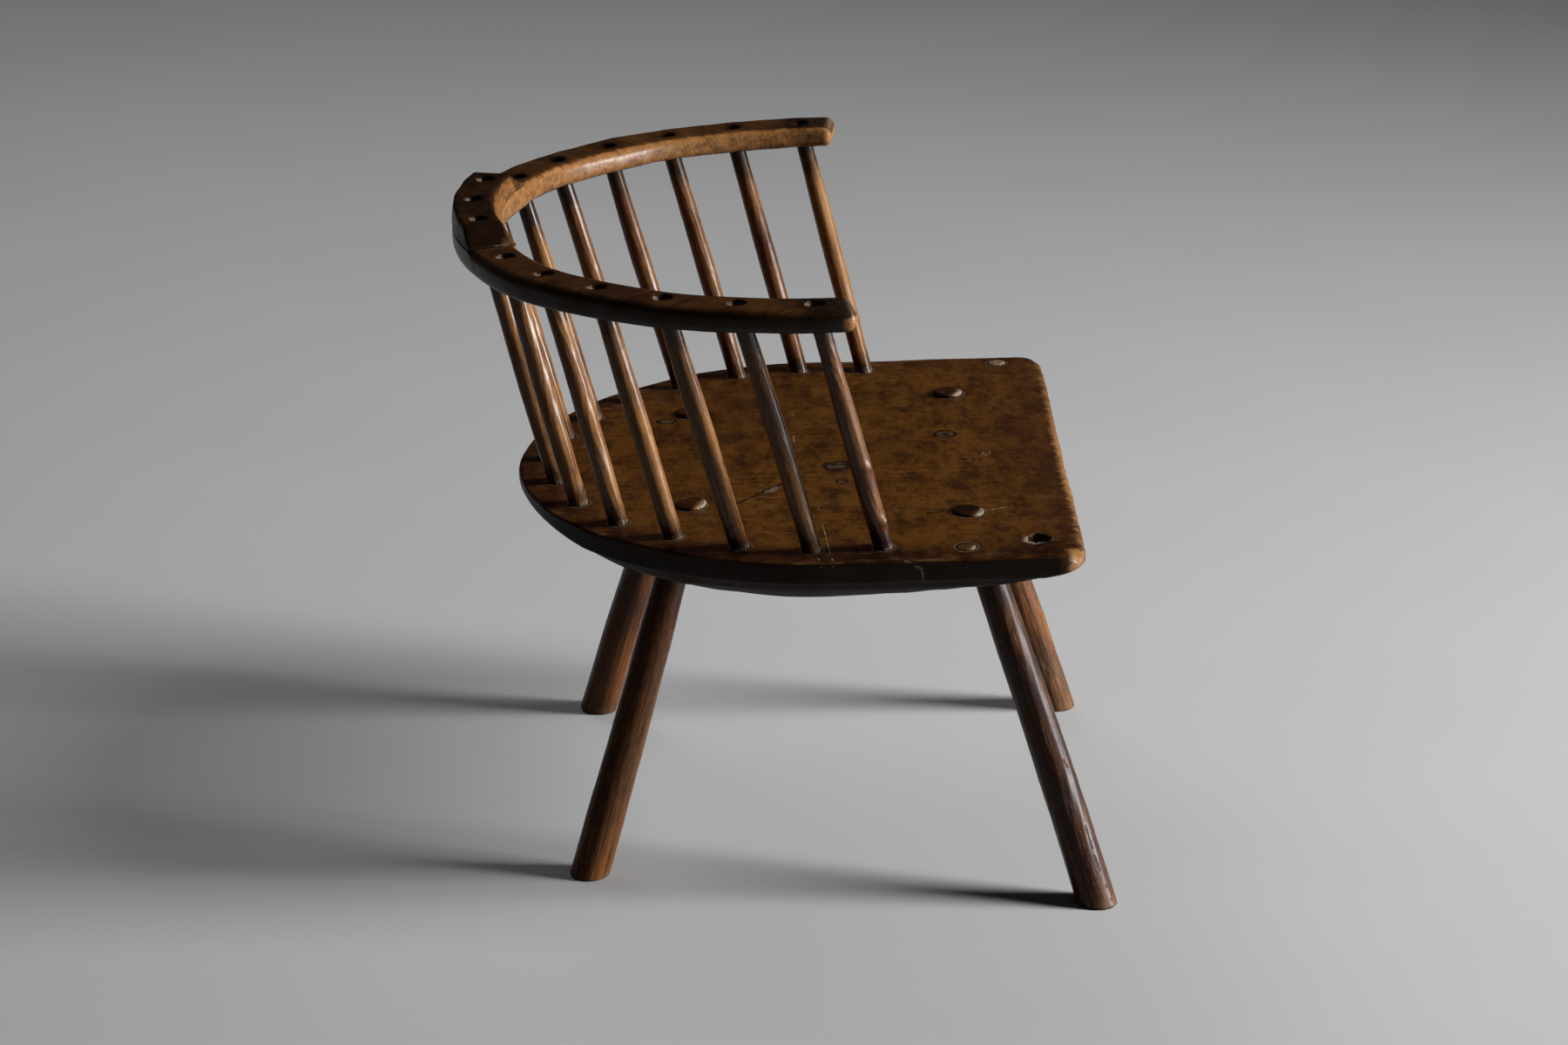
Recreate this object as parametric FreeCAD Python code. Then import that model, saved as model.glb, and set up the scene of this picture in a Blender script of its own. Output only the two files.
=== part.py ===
import FreeCAD, Part
import os
from math import atan2, cos, degrees, hypot, pi, radians, sin, sqrt

V = FreeCAD.Vector

# A low stick armchair: a D-shaped plank seat on four splayed legs, with a horseshoe arm on fifteen sticks.
# Millimetres and degrees. +Z is up, the chair faces -Y, and the sitter's right is -X.
# The seat and everything above it are laid out in the seat's own frame, whose origin is the centre of the
# seat's round back, on the top of the plank. That frame is then leant back and lifted off the floor.

# Seat plank
SEAT_HEIGHT = 313.0         # floor to the top of the plank, at the centre of its round back
SEAT_TILT = 3.3             # how far the whole upper part leans back
SEAT_RADIUS = 260.0         # round back, and half the width of the plank
SEAT_FRONT = 202.0          # centre of the round back to the front edge
SEAT_CORNER_RADIUS = 24.0   # front corners, seen from above
SEAT_THICKNESS = 35.0       # at the thickest line, across the plank
SEAT_FRONT_THICKNESS = 14.0
SEAT_THICKEST_BACK = 18.0   # thickest line, behind the centre
SEAT_TOP_BEVEL = 5.0
SEAT_UNDER_BEVEL = 15.0

# Legs, shaved to flats and driven into reamed mortises
LEG_FLAT_COUNT = 16
LEG_FOOT_RADIUS = 16.3
LEG_HEAD_RADIUS = 12.4      # at the top of the plank
LEG_PROUD = 3.0             # worn tenon ends stand above the plank
FRONT_LEG_INSIDE = 105.0    # head, in from the side of the plank
FRONT_LEG_BEHIND = 89.5     # head, behind the front edge
FRONT_SPLAY_OUT = 59.5      # foot, further out than the head
FRONT_SPLAY_FORWARD = 118.5
REAR_LEG_INSIDE = 141.0
REAR_LEG_AHEAD = 145.0      # head, in front of the back edge
REAR_SPLAY_OUT = 61.5
REAR_SPLAY_BACK = 76.0

# Arms and crest
ARM_RISE = 219.5            # top of the plank to the top of the arms
ARM_BACK = 12.0             # centre of the arms, behind the centre of the seat's round back
ARM_RADIUS = 274.0          # centre line of the arms
ARM_WIDTH = 41.0
ARM_THICKNESS = 20.5
ARM_ROUND = 7.5             # long arrises
ARM_NOSE = 7.0              # rounding of the front end
ARM_END_ANGLE = 96.5        # from the middle of the back round to the front end
ARRIS_FLAT_COUNT = 2        # flats that a rounding is shaved to
CREST_THICKNESS = 15.5
CREST_ANGLE = 20.7          # half the crest's spread
CREST_INNER_SLOPE = 6.5     # how far the inner face leans back
CREST_OUTER_SLOPE = 2.0
CREST_BEVEL = 2.0
CREST_TOE = 1.6             # thickness left at the swept ends
CREST_SWEEP = 22.0          # length of the swept ends

# Sticks
SIDE_STICKS = 6             # under each arm
BACK_STICKS = 3             # under the crest
STICK_FLAT_COUNT = 12
STICK_INSET = 28.0          # centre of a stick's foot, in from the edge of the round back
STICK_HEAD_INSET = 1.5      # centre of a stick's head, inside the arms' centre line
FOOT_SPREAD = 200.0         # angle that the row of feet covers
HEAD_SPREAD = 180.0         # angle that the row of heads covers
FOOT_DRIFT = 2.5            # the feet at the back stand this far round to the sitter's left
STICK_FOOT_RADIUS = 7.9     # in the seat
STICK_BELLY_RADIUS = 8.7
STICK_HEAD_RADIUS = 7.5     # in the arm
STICK_BELLY_PLACE = 0.45    # thickest place, as a share of the free length
STICK_NECK = 5.0            # plain length left outside each mortise
STICK_MORTISE_DEPTH = 12.5
STICK_TOP_RECESS = 4.0      # the heads end below the top of the arm

# Spare mortises near the front corners: two are plugged, one is empty
SPARE_RADIUS = 8.0
SPARE_DEPTH = 13.0
PLUG_PROUD = 0.4
PLUG_RIGHT_INSIDE = 26.0    # in from the side of the plank
PLUG_RIGHT_BEHIND = 96.0    # behind the front edge
PLUG_LEFT_INSIDE = 21.0
PLUG_LEFT_BEHIND = 41.0
EMPTY_INSIDE = 42.0
EMPTY_BEHIND = 37.0

FIT = 0.15                  # radial gap of a tenon or plug in its mortise

ARM_INNER = ARM_RADIUS - ARM_WIDTH / 2
ARM_OUTER = ARM_RADIUS + ARM_WIDTH / 2
CREST_RISE = ARM_RISE + CREST_THICKNESS
TOOL_REACH = 2 * SEAT_THICKNESS  # what a cutting tool reaches past the piece
SEAT_FRAME = FreeCAD.Placement(V(0, 0, SEAT_HEIGHT), FreeCAD.Rotation(V(1, 0, 0), -SEAT_TILT))


def around_arms(radius, angle, height):
    """A point of the seat's frame, by its angle round the arms from the back towards the right."""
    turn = radians(angle)
    return V(-radius * sin(turn), ARM_BACK + radius * cos(turn), height)


def closed(points):
    """The closed outline through the points."""
    return Part.makePolygon(points + points[:1])


def wide_slab(low, high):
    """A level slab between two heights, wider than the chair."""
    reach = 4 * (SEAT_RADIUS + SEAT_FRONT)
    return Part.makeBox(reach, reach, high - low, V(-reach / 2, -reach / 2, low))


def shaved_bar(stations, flats, foot, axis):
    """A bar shaved to flats, through (distance from the foot along the axis, radius) stations."""
    turns = [2 * pi * i / flats for i in range(flats)]
    rings = []
    for along, radius in stations:
        rings.append(closed([V(radius * cos(t), radius * sin(t), along) for t in turns]))
    bar = Part.makeLoft(rings, True, True)
    bar.Placement = FreeCAD.Placement(foot, FreeCAD.Rotation(V(0, 0, 1), axis))
    return bar


def seat_blank():
    """The plank without its mortises: the outline, bevelled, and thinned underneath to front and back."""
    width, front, corner = SEAT_RADIUS, SEAT_FRONT, SEAT_CORNER_RADIUS
    near = corner * (1 - sqrt(0.5))
    right_side = V(-width, -front + corner, 0)
    left_side = V(width, -front + corner, 0)
    right_front = V(-width + corner, -front, 0)
    left_front = V(width - corner, -front, 0)
    outline = Part.Wire([
        Part.LineSegment(V(-width, 0, 0), right_side).toShape(),
        Part.Arc(right_side, V(-width + near, -front + near, 0), right_front).toShape(),
        Part.LineSegment(right_front, left_front).toShape(),
        Part.Arc(left_front, V(width - near, -front + near, 0), left_side).toShape(),
        Part.LineSegment(left_side, V(width, 0, 0)).toShape(),
        Part.Arc(V(width, 0, 0), V(0, width, 0), V(-width, 0, 0)).toShape(),
    ])
    plank = Part.Face(outline).extrude(V(0, 0, -SEAT_THICKNESS))
    top = max(plank.Faces, key=lambda face: face.CenterOfMass.z)
    plank = plank.makeChamfer(SEAT_TOP_BEVEL, top.Edges)
    under = min(plank.Faces, key=lambda face: face.CenterOfMass.z)
    plank = plank.makeChamfer(SEAT_UNDER_BEVEL, under.Edges)
    # The underside is a wide arc across the plank, from its thickest line to the front edge.
    reach = SEAT_FRONT + SEAT_THICKEST_BACK
    sag = SEAT_THICKNESS - SEAT_FRONT_THICKNESS
    arc_radius = (reach * reach + sag * sag) / (2 * sag)
    roller = Part.makeCylinder(
        arc_radius, 4 * SEAT_RADIUS,
        V(-2 * SEAT_RADIUS, SEAT_THICKEST_BACK, arc_radius - SEAT_THICKNESS), V(1, 0, 0))
    return plank.common(roller)


def leg_line(head_x, head_y, out, back):
    """The leg's axis, from its foot on the floor to its head on the top of the plank."""
    return V(head_x + out, head_y + back, 0), SEAT_FRAME.multVec(V(head_x, head_y, 0))


def leg_taper(foot, head):
    """The leg's (distance, radius) at both ends, run on past the floor and past the top of the plank."""
    length = (head - foot).Length
    spare = (LEG_FOOT_RADIUS - LEG_HEAD_RADIUS) * TOOL_REACH / length
    return (-TOOL_REACH, LEG_FOOT_RADIUS + spare), (length + TOOL_REACH, LEG_HEAD_RADIUS - spare)


def leg_solid(foot, head):
    """A tapered leg cut level with the floor, and level with the plank just above it."""
    bar = shaved_bar(leg_taper(foot, head), LEG_FLAT_COUNT, foot, head - foot)
    floor = wide_slab(-2 * TOOL_REACH, 0)
    above = wide_slab(LEG_PROUD, LEG_PROUD + 2 * TOOL_REACH)
    above.Placement = SEAT_FRAME.multiply(above.Placement)
    return bar.cut([floor, above])


def leg_mortise(foot, head):
    """The reamed mortise: the leg's own taper and a fit."""
    (start, start_radius), (end, end_radius) = leg_taper(foot, head)
    axis = (head - foot) * (1 / (head - foot).Length)
    return Part.makeCone(start_radius + FIT, end_radius + FIT, end - start, foot + axis * start, axis)


def stick_line(place):
    """The stick's axis: its foot on the top of the plank and its head on the top of the arms."""
    gaps = 2 * SIDE_STICKS + BACK_STICKS - 1
    share = 0.5 - place / gaps
    foot_angle = FOOT_SPREAD * share
    foot_angle -= FOOT_DRIFT * cos(radians(foot_angle)) ** 2
    turn = radians(foot_angle)
    foot_radius = SEAT_RADIUS - STICK_INSET
    foot = V(-foot_radius * sin(turn), foot_radius * cos(turn), 0)
    return foot, around_arms(ARM_RADIUS - STICK_HEAD_INSET, HEAD_SPREAD * share, ARM_RISE)


def stick_solid(foot, head, top):
    """A shaved stick, plain where it is held and swelling a little between."""
    axis = (head - foot) * (1 / (head - foot).Length)
    lean = hypot(axis.x, axis.y) / axis.z
    free_start = STICK_NECK + STICK_FOOT_RADIUS * lean
    free_end = (ARM_RISE - ARM_THICKNESS) / axis.z - free_start
    belly = free_start + (free_end - free_start) * STICK_BELLY_PLACE
    stations = [(-STICK_MORTISE_DEPTH, STICK_FOOT_RADIUS), (free_start, STICK_FOOT_RADIUS),
                (belly, STICK_BELLY_RADIUS), (free_end, STICK_HEAD_RADIUS),
                ((top - STICK_TOP_RECESS) / axis.z, STICK_HEAD_RADIUS)]
    return shaved_bar(stations, STICK_FLAT_COUNT, foot, axis)


def stick_bore(foot, head, low, high, radius):
    """The bore for a stick's end, between two distances along its axis from the top of the plank."""
    axis = (head - foot) * (1 / (head - foot).Length)
    return Part.makeCylinder(radius + FIT, high - low, foot + axis * low, axis)


def arm_section(inset, low_round, top_round):
    """Corners (radius, height) of the arm's section, drawn in all round, each arris eased by flats."""
    inner, outer = ARM_INNER + inset, ARM_OUTER - inset
    low, high = ARM_RISE - ARM_THICKNESS + inset, ARM_RISE - inset
    corners = [(inner + low_round, low + low_round, 180, low_round),
               (outer - low_round, low + low_round, 270, low_round),
               (outer - top_round, high - top_round, 0, top_round),
               (inner + top_round, high - top_round, 90, top_round)]
    section = []
    for radius, height, start, rounding in corners:
        flats = ARRIS_FLAT_COUNT if rounding > 0 else 0
        for step in range(flats + 1):
            turn = radians(start + 90 * step / ARRIS_FLAT_COUNT)
            section.append((radius + rounding * cos(turn), height + rounding * sin(turn)))
    return section


def around_band(section, start, end):
    """A section of (radius, height) corners, swept round the arms' centre from one angle to another."""
    face = Part.Face(closed([around_arms(radius, start, height) for radius, height in section]))
    return face.revolve(V(0, ARM_BACK, 0), V(0, 0, 1), end - start)


def arm_nose(start):
    """The rounded front end: sections that draw in as a quarter circle does."""
    rings = []
    for step in range(ARRIS_FLAT_COUNT + 1):
        turn = radians(90 * step / ARRIS_FLAT_COUNT)
        inset = ARM_NOSE * (1 - cos(turn))
        angle = start + degrees(ARM_NOSE * sin(turn) / ARM_RADIUS)
        rounding = ARM_ROUND - inset
        section = arm_section(inset, rounding, rounding)
        rings.append(closed([around_arms(radius, angle, height) for radius, height in section]))
    return Part.makeLoft(rings, True, True)


def arm_blank():
    """The right arm without its bores: square-topped under the crest, eased in front of it."""
    nose_start = ARM_END_ANGLE - degrees(ARM_NOSE / ARM_RADIUS)
    lap = around_band(arm_section(0, ARM_ROUND, 0), 0, CREST_ANGLE)
    free = around_band(arm_section(0, ARM_ROUND, ARM_ROUND), CREST_ANGLE, nose_start)
    return lap.fuse([free, arm_nose(nose_start)]).removeSplitter()


def crest_end_cutter():
    """What is cut away above the crest's right end: an ogee that falls from the top to a thin toe."""
    fall = CREST_THICKNESS - CREST_TOE
    bend = (CREST_SWEEP ** 2 + fall ** 2) / (4 * fall)
    half_turn = atan2(fall, CREST_SWEEP)
    inside, outside = ARM_INNER - ARM_WIDTH, ARM_WIDTH * 3
    turn = radians(CREST_ANGLE)
    along = V(cos(turn), sin(turn), 0)
    corner = around_arms(inside, CREST_ANGLE, ARM_RISE)

    def at(run, height):
        return corner + along * run + V(0, 0, height)

    toe = at(0, CREST_TOE)
    hollow = at(bend * sin(half_turn), CREST_TOE + bend * (1 - cos(half_turn)))
    middle = at(CREST_SWEEP / 2, CREST_TOE + fall / 2)
    swell = at(CREST_SWEEP - bend * sin(half_turn), CREST_THICKNESS - bend * (1 - cos(half_turn)))
    shoulder = at(CREST_SWEEP, CREST_THICKNESS)
    sky_in, sky_out = at(CREST_SWEEP, TOOL_REACH), at(-TOOL_REACH, TOOL_REACH)
    out = at(-TOOL_REACH, CREST_TOE)
    outline = Part.Wire([
        Part.Arc(toe, hollow, middle).toShape(),
        Part.Arc(middle, swell, shoulder).toShape(),
        Part.LineSegment(shoulder, sky_in).toShape(),
        Part.LineSegment(sky_in, sky_out).toShape(),
        Part.LineSegment(sky_out, out).toShape(),
        Part.LineSegment(out, toe).toShape(),
    ])
    return Part.Face(outline).extrude(V(-sin(turn), cos(turn), 0) * outside)


def crest_blank():
    """The crest without its bores: a band with a sloped inner face, swept down at both ends."""
    inner_top, outer_top = ARM_INNER + CREST_INNER_SLOPE, ARM_OUTER - CREST_OUTER_SLOPE
    side = 1 - CREST_BEVEL / CREST_THICKNESS
    section = [(ARM_INNER, ARM_RISE),
               (ARM_OUTER, ARM_RISE),
               (ARM_OUTER - CREST_OUTER_SLOPE * side, CREST_RISE - CREST_BEVEL),
               (outer_top - CREST_BEVEL, CREST_RISE),
               (inner_top + CREST_BEVEL, CREST_RISE),
               (ARM_INNER + CREST_INNER_SLOPE * side, CREST_RISE - CREST_BEVEL)]
    right_end = crest_end_cutter()
    left_end = right_end.mirror(V(0, 0, 0), V(1, 0, 0))
    return around_band(section, -CREST_ANGLE, CREST_ANGLE).cut([right_end, left_end])


def spare_mortise(x, y):
    """A bore straight down into the top of the plank."""
    return Part.makeCylinder(SPARE_RADIUS, SPARE_DEPTH + TOOL_REACH, V(x, y, -SPARE_DEPTH))


def plug_solid(x, y):
    """A whittled plug that stands on the floor of its mortise."""
    radius = SPARE_RADIUS - FIT
    return shaved_bar([(0, radius), (SPARE_DEPTH + PLUG_PROUD, radius)], STICK_FLAT_COUNT,
                      V(x, y, -SPARE_DEPTH), V(0, 0, 1))


# The row of sticks, from the right front round the back to the left front
sticks = {}
for place in range(2 * SIDE_STICKS + BACK_STICKS):
    if place < SIDE_STICKS:
        name = "stick_right_%d" % (place + 1)
    elif place < SIDE_STICKS + BACK_STICKS:
        name = "stick_back_%d" % (place - SIDE_STICKS + 1)
    else:
        name = "stick_left_%d" % (2 * SIDE_STICKS + BACK_STICKS - place)
    sticks[name] = stick_line(place)

legs = {}
for side, sign in (("right", -1), ("left", 1)):
    front_x, front_y = sign * (SEAT_RADIUS - FRONT_LEG_INSIDE), FRONT_LEG_BEHIND - SEAT_FRONT
    rear_x, rear_y = sign * (SEAT_RADIUS - REAR_LEG_INSIDE), SEAT_RADIUS - REAR_LEG_AHEAD
    legs["leg_front_" + side] = leg_line(front_x, front_y, sign * FRONT_SPLAY_OUT, -FRONT_SPLAY_FORWARD)
    legs["leg_rear_" + side] = leg_line(rear_x, rear_y, sign * REAR_SPLAY_OUT, REAR_SPLAY_BACK)

plug_right = (PLUG_RIGHT_INSIDE - SEAT_RADIUS, PLUG_RIGHT_BEHIND - SEAT_FRONT)
plug_left = (SEAT_RADIUS - PLUG_LEFT_INSIDE, PLUG_LEFT_BEHIND - SEAT_FRONT)
empty = (EMPTY_INSIDE - SEAT_RADIUS, EMPTY_BEHIND - SEAT_FRONT)

# Pieces laid out in the seat's frame
seat_cuts = [stick_bore(foot, head, -STICK_MORTISE_DEPTH, TOOL_REACH, STICK_FOOT_RADIUS)
             for foot, head in sticks.values()]
seat_cuts += [spare_mortise(x, y) for x, y in (plug_right, plug_left, empty)]
upper = {"seat_plank": seat_blank().cut(seat_cuts)}
upper["seat_plug_right"] = plug_solid(*plug_right)
upper["seat_plug_left"] = plug_solid(*plug_left)

arm_bores = {name: stick_bore(foot, head, STICK_NECK, (head - foot).Length + TOOL_REACH, STICK_HEAD_RADIUS)
             for name, (foot, head) in sticks.items()}
back_bores = [bore for name, bore in arm_bores.items() if "back" in name]
right_arm = arm_blank()
left_arm = right_arm.mirror(V(0, 0, 0), V(1, 0, 0))
upper["arm_right"] = right_arm.cut(back_bores + [b for name, b in arm_bores.items() if "right" in name])
upper["arm_left"] = left_arm.cut(back_bores + [b for name, b in arm_bores.items() if "left" in name])
upper["arm_crest"] = crest_blank().cut(back_bores)
for name, (foot, head) in sticks.items():
    upper[name] = stick_solid(foot, head, CREST_RISE if "back" in name else ARM_RISE)

# Lean the upper part back, lift it, and ream the legs' mortises
pieces = {}
for name, shape in upper.items():
    shape.Placement = SEAT_FRAME.multiply(shape.Placement)
    pieces[name] = shape
for name, (foot, head) in legs.items():
    pieces[name] = leg_solid(foot, head)
pieces["seat_plank"] = pieces["seat_plank"].cut([leg_mortise(foot, head) for foot, head in legs.values()])

# The origin is on the floor, under the middle of the whole chair
whole = Part.makeCompound(list(pieces.values())).optimalBoundingBox(False)
centre = V(-(whole.XMin + whole.XMax) / 2, -(whole.YMin + whole.YMax) / 2, 0)
os.makedirs("parts", exist_ok=True)
for name, shape in pieces.items():
    shape.translate(centre)
    solids = shape.Solids
    print("%-16s solids %d valid %s volume %.1f" % (name, len(solids), shape.isValid(), shape.Volume))
    solids[0].exportStep("parts/%s.step" % name)
print("overall %.1f x %.1f x %.1f" % (whole.XLength, whole.YLength, whole.ZMax),
      "origin moved by %.2f %.2f" % (centre.x, centre.y))
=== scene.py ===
# %% [markdown]
# # A low stick armchair
# The chair is a D-shaped plank on four splayed legs, with a horseshoe arm carried on fifteen sticks. Its solids
# already have the right sizes and places. What they lack is the hand: sticks that are never quite straight,
# worn edges, grain, wax and dirt. This lesson makes each piece again as a surface worked out with numpy, in
# the same place as its solid, and gives it a finish of nodes.

# %% Load the solids
from functools import reduce
from operator import or_
import bpy
import numpy as np
from mathutils import Matrix


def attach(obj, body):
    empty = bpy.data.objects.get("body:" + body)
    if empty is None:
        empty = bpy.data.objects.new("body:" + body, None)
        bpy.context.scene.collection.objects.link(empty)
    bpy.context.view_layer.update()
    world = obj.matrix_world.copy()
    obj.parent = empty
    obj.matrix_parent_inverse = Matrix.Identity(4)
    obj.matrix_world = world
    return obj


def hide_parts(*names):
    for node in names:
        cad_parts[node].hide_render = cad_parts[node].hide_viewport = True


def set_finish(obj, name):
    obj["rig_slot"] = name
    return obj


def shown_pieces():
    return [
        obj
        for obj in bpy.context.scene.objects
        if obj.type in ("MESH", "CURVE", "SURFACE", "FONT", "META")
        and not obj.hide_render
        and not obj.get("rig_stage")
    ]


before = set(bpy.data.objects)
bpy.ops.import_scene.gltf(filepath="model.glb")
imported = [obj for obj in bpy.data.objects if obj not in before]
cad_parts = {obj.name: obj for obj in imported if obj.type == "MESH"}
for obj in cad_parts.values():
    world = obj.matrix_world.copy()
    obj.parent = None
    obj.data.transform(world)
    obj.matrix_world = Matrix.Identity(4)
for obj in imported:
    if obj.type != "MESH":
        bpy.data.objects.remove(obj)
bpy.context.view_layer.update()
print("solids loaded:", len(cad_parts))

# %% [markdown]
# ## Where the camera stands
# A photograph's camera can be worked out from things whose size is known, such as the ring of stick holes.
# Here it stands on the sitter's right, well back and a little above, with a long lens. The lens is written
# as the picture's focal length in pixels, because that is what the measuring gives.

# %% Camera
TURN, LIFT, ROLL = np.radians([268.172, 20.0, 2.056])
DISTANCE = 3.7235
LOOK_AT = np.array([0.0, -0.0017, 0.2507])
PICTURE_WIDTH = 1800
FOCAL_PIXELS = 5000
scene = bpy.context.scene


def unit(vector):
    """The same direction with length 1."""
    return vector / np.linalg.norm(vector)


def level_axes(back):
    """Right and up for a thing that stands level and looks against back."""
    right = unit(np.cross([0, 0, 1], back))
    return right, np.cross(back, right)


def put_up(name, data, right, up, back, place):
    """An object for a camera or a lamp, with its axes along right, up and back."""
    holder = bpy.data.objects.new(name, data)
    pose = np.eye(4)
    pose[:3] = np.column_stack([right, up, back, place])
    holder.matrix_world = Matrix(pose.tolist())
    scene.collection.objects.link(holder)
    return holder


back = np.array([np.sin(TURN) * np.cos(LIFT), -np.cos(TURN) * np.cos(LIFT), np.sin(LIFT)])
level, upright = level_axes(back)
camera_right = level * np.cos(ROLL) + upright * np.sin(ROLL)
camera_up = upright * np.cos(ROLL) - level * np.sin(ROLL)
stand = LOOK_AT + back * DISTANCE
lens = bpy.data.cameras.new("photo_camera")
lens.sensor_fit = "HORIZONTAL"
lens.lens = FOCAL_PIXELS / PICTURE_WIDTH * lens.sensor_width
scene.camera = put_up("photo_camera", lens, camera_right, camera_up, back, stand)
print("camera at", stand.round(3), "lens", lens.lens)

# %% [markdown]
# ## Light
# The chair is lit from its front by one tall soft lamp, like a window, so each stick has a bright side and a
# dark side. Its spread is narrow, as with a grid in front, so the floor before it isn't burnt out. The wax
# shines in long lines only if something bright stands low, so a low lamp is there for the shine alone, and the
# tall one gives none. A weak third lamp high up on the far side keeps the back from being lost, and a dim sky
# fills the rest. A bright sky would lie like a veil on dark wood. Facing the lamp, a colour renders about as
# it is written.

# %% Lamps and sky
LAMPS = dict(front_lamp=dict(place=(-0.30, -4.35, 1.98), size=(1.35, 3.45), watts=158.0),
             shine_lamp=dict(place=(-0.55, -2.9, 0.50), size=(0.9, 0.9), watts=150.0),
             far_lamp=dict(place=(1.9, 0.9, 2.6), size=(1.4, 1.4), watts=14.0))
FRONT_SPREAD = np.radians(105)
SKY = 0.017


def soft_lamp(name, place, size, watts):
    """A lamp of a width and height at a place, turned so that its face looks at the chair."""
    lamp = bpy.data.lights.new(name, "AREA")
    lamp.shape, lamp.energy = "RECTANGLE", watts
    lamp.size, lamp.size_y = size
    away = unit(np.array(place) - LOOK_AT)
    return put_up(name, lamp, *level_axes(away), away, place)


front_lamp, shine_lamp, far_lamp = (soft_lamp(name, **lamp) for name, lamp in LAMPS.items())
front_lamp.data.spread = FRONT_SPREAD
front_lamp.visible_glossy = far_lamp.visible_glossy = shine_lamp.visible_diffuse = False
scene.world = bpy.data.worlds.new("studio")
scene.world.use_nodes = True
sky = scene.world.node_tree.nodes["Background"].inputs
sky["Color"].default_value, sky["Strength"].default_value = (1, 1, 1, 1), SKY
scene.view_settings.view_transform = "Standard"
print("lamps of", [lamp["watts"] for lamp in LAMPS.values()], "W, sky", SKY)

# %% [markdown]
# ## The seat's own frame
# The seat and all that stands on it lean back together by a few degrees. It is easier to lay them out on a
# level seat, with the origin at the centre of its round back and z = 0 on the top of the plank, and to lean
# the finished points back at the end.

# %% Seat frame
mm = 0.001
LEAN = np.radians(3.3)
SEAT_HEIGHT = 313 * mm
SEAT_SHIFT = -35.09 * mm


def lean_back(points):
    """Seat frame to room: turned about X by the lean, then lifted to the seat's height and moved back."""
    x, y, z = np.moveaxis(np.asarray(points, float), -1, 0)
    turned_y = y * np.cos(LEAN) + z * np.sin(LEAN)
    turned_z = z * np.cos(LEAN) - y * np.sin(LEAN)
    return np.stack([x, turned_y + SEAT_SHIFT, turned_z + SEAT_HEIGHT], -1)


print("seat centre in the room:", lean_back([0, 0, 0]).round(4))

# %% [markdown]
# ## The hand's unevenness
# Nothing shaved by hand is true. A sum of a few sine waves, with directions and lengths drawn once from a
# seeded generator, gives a smooth unevenness that comes out the same at each run. It works on whole arrays,
# and later each piece gets its own seed.

# %% Unevenness
SEEDS = dict(stick=100, leg=400, plug=500, arm=600, crest=650, rim=11, skim=12, scoop=13, under=14, nibble=16)
SEED_STEP = 10


def uneven(seed, lengths, *axes, waves=7):
    """Sum of sines along random directions of the axes, with random phases and with lengths drawn between two;
    about -1.5 to 1.5."""
    draw = np.random.default_rng(seed)
    total = 0.0
    for _ in range(waves):
        heading = unit(draw.normal(size=len(axes)))
        length = draw.uniform(*lengths)
        run = sum(part * axis for part, axis in zip(heading, axes))
        total = total + np.sin(2 * np.pi * run / length + draw.uniform(0, 2 * np.pi))
    return total / np.sqrt(waves)


def ease(value, start, end):
    """Smooth step: 0 before start, 1 after end, 3t^2 - 2t^3 between. Start may be above end."""
    t = np.clip((value - start) / (end - start), 0, 1)
    return t * t * (3 - 2 * t)


# %% [markdown]
# ## From rings of points to a closed skin
# Every piece of this chair is a stack of rings: round a stick, round an arm's section, round the seat from
# the middle of its top over the edge to the middle of its underside. The first and last ring shrink to a
# point, so the skin closes without a seam. If the rings run the wrong way the volume comes out negative, and
# the faces are turned over. What the finish has to know, such as the way of the grain or where hands have
# rubbed, goes along as attributes.

# %% Skin
CAP_SHARES = (0.94, 0.7, 0.35)
CAP_ROWS = len(CAP_SHARES) + 1


def with_caps(rings):
    """Adds rings that shrink to the middle of the first and last ring, and end in a point."""
    def cap(ring, shares):
        middle = ring.mean(0)
        return [middle + (ring - middle) * share for share in shares]
    return np.concatenate([cap(rings[0], (0, *reversed(CAP_SHARES))), rings, cap(rings[-1], (*CAP_SHARES, 0))])


def over_caps(grid):
    """A number for each point of the rings, carried on over the caps."""
    return np.pad(grid, ((CAP_ROWS, CAP_ROWS), (0, 0)), "edge")


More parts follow.
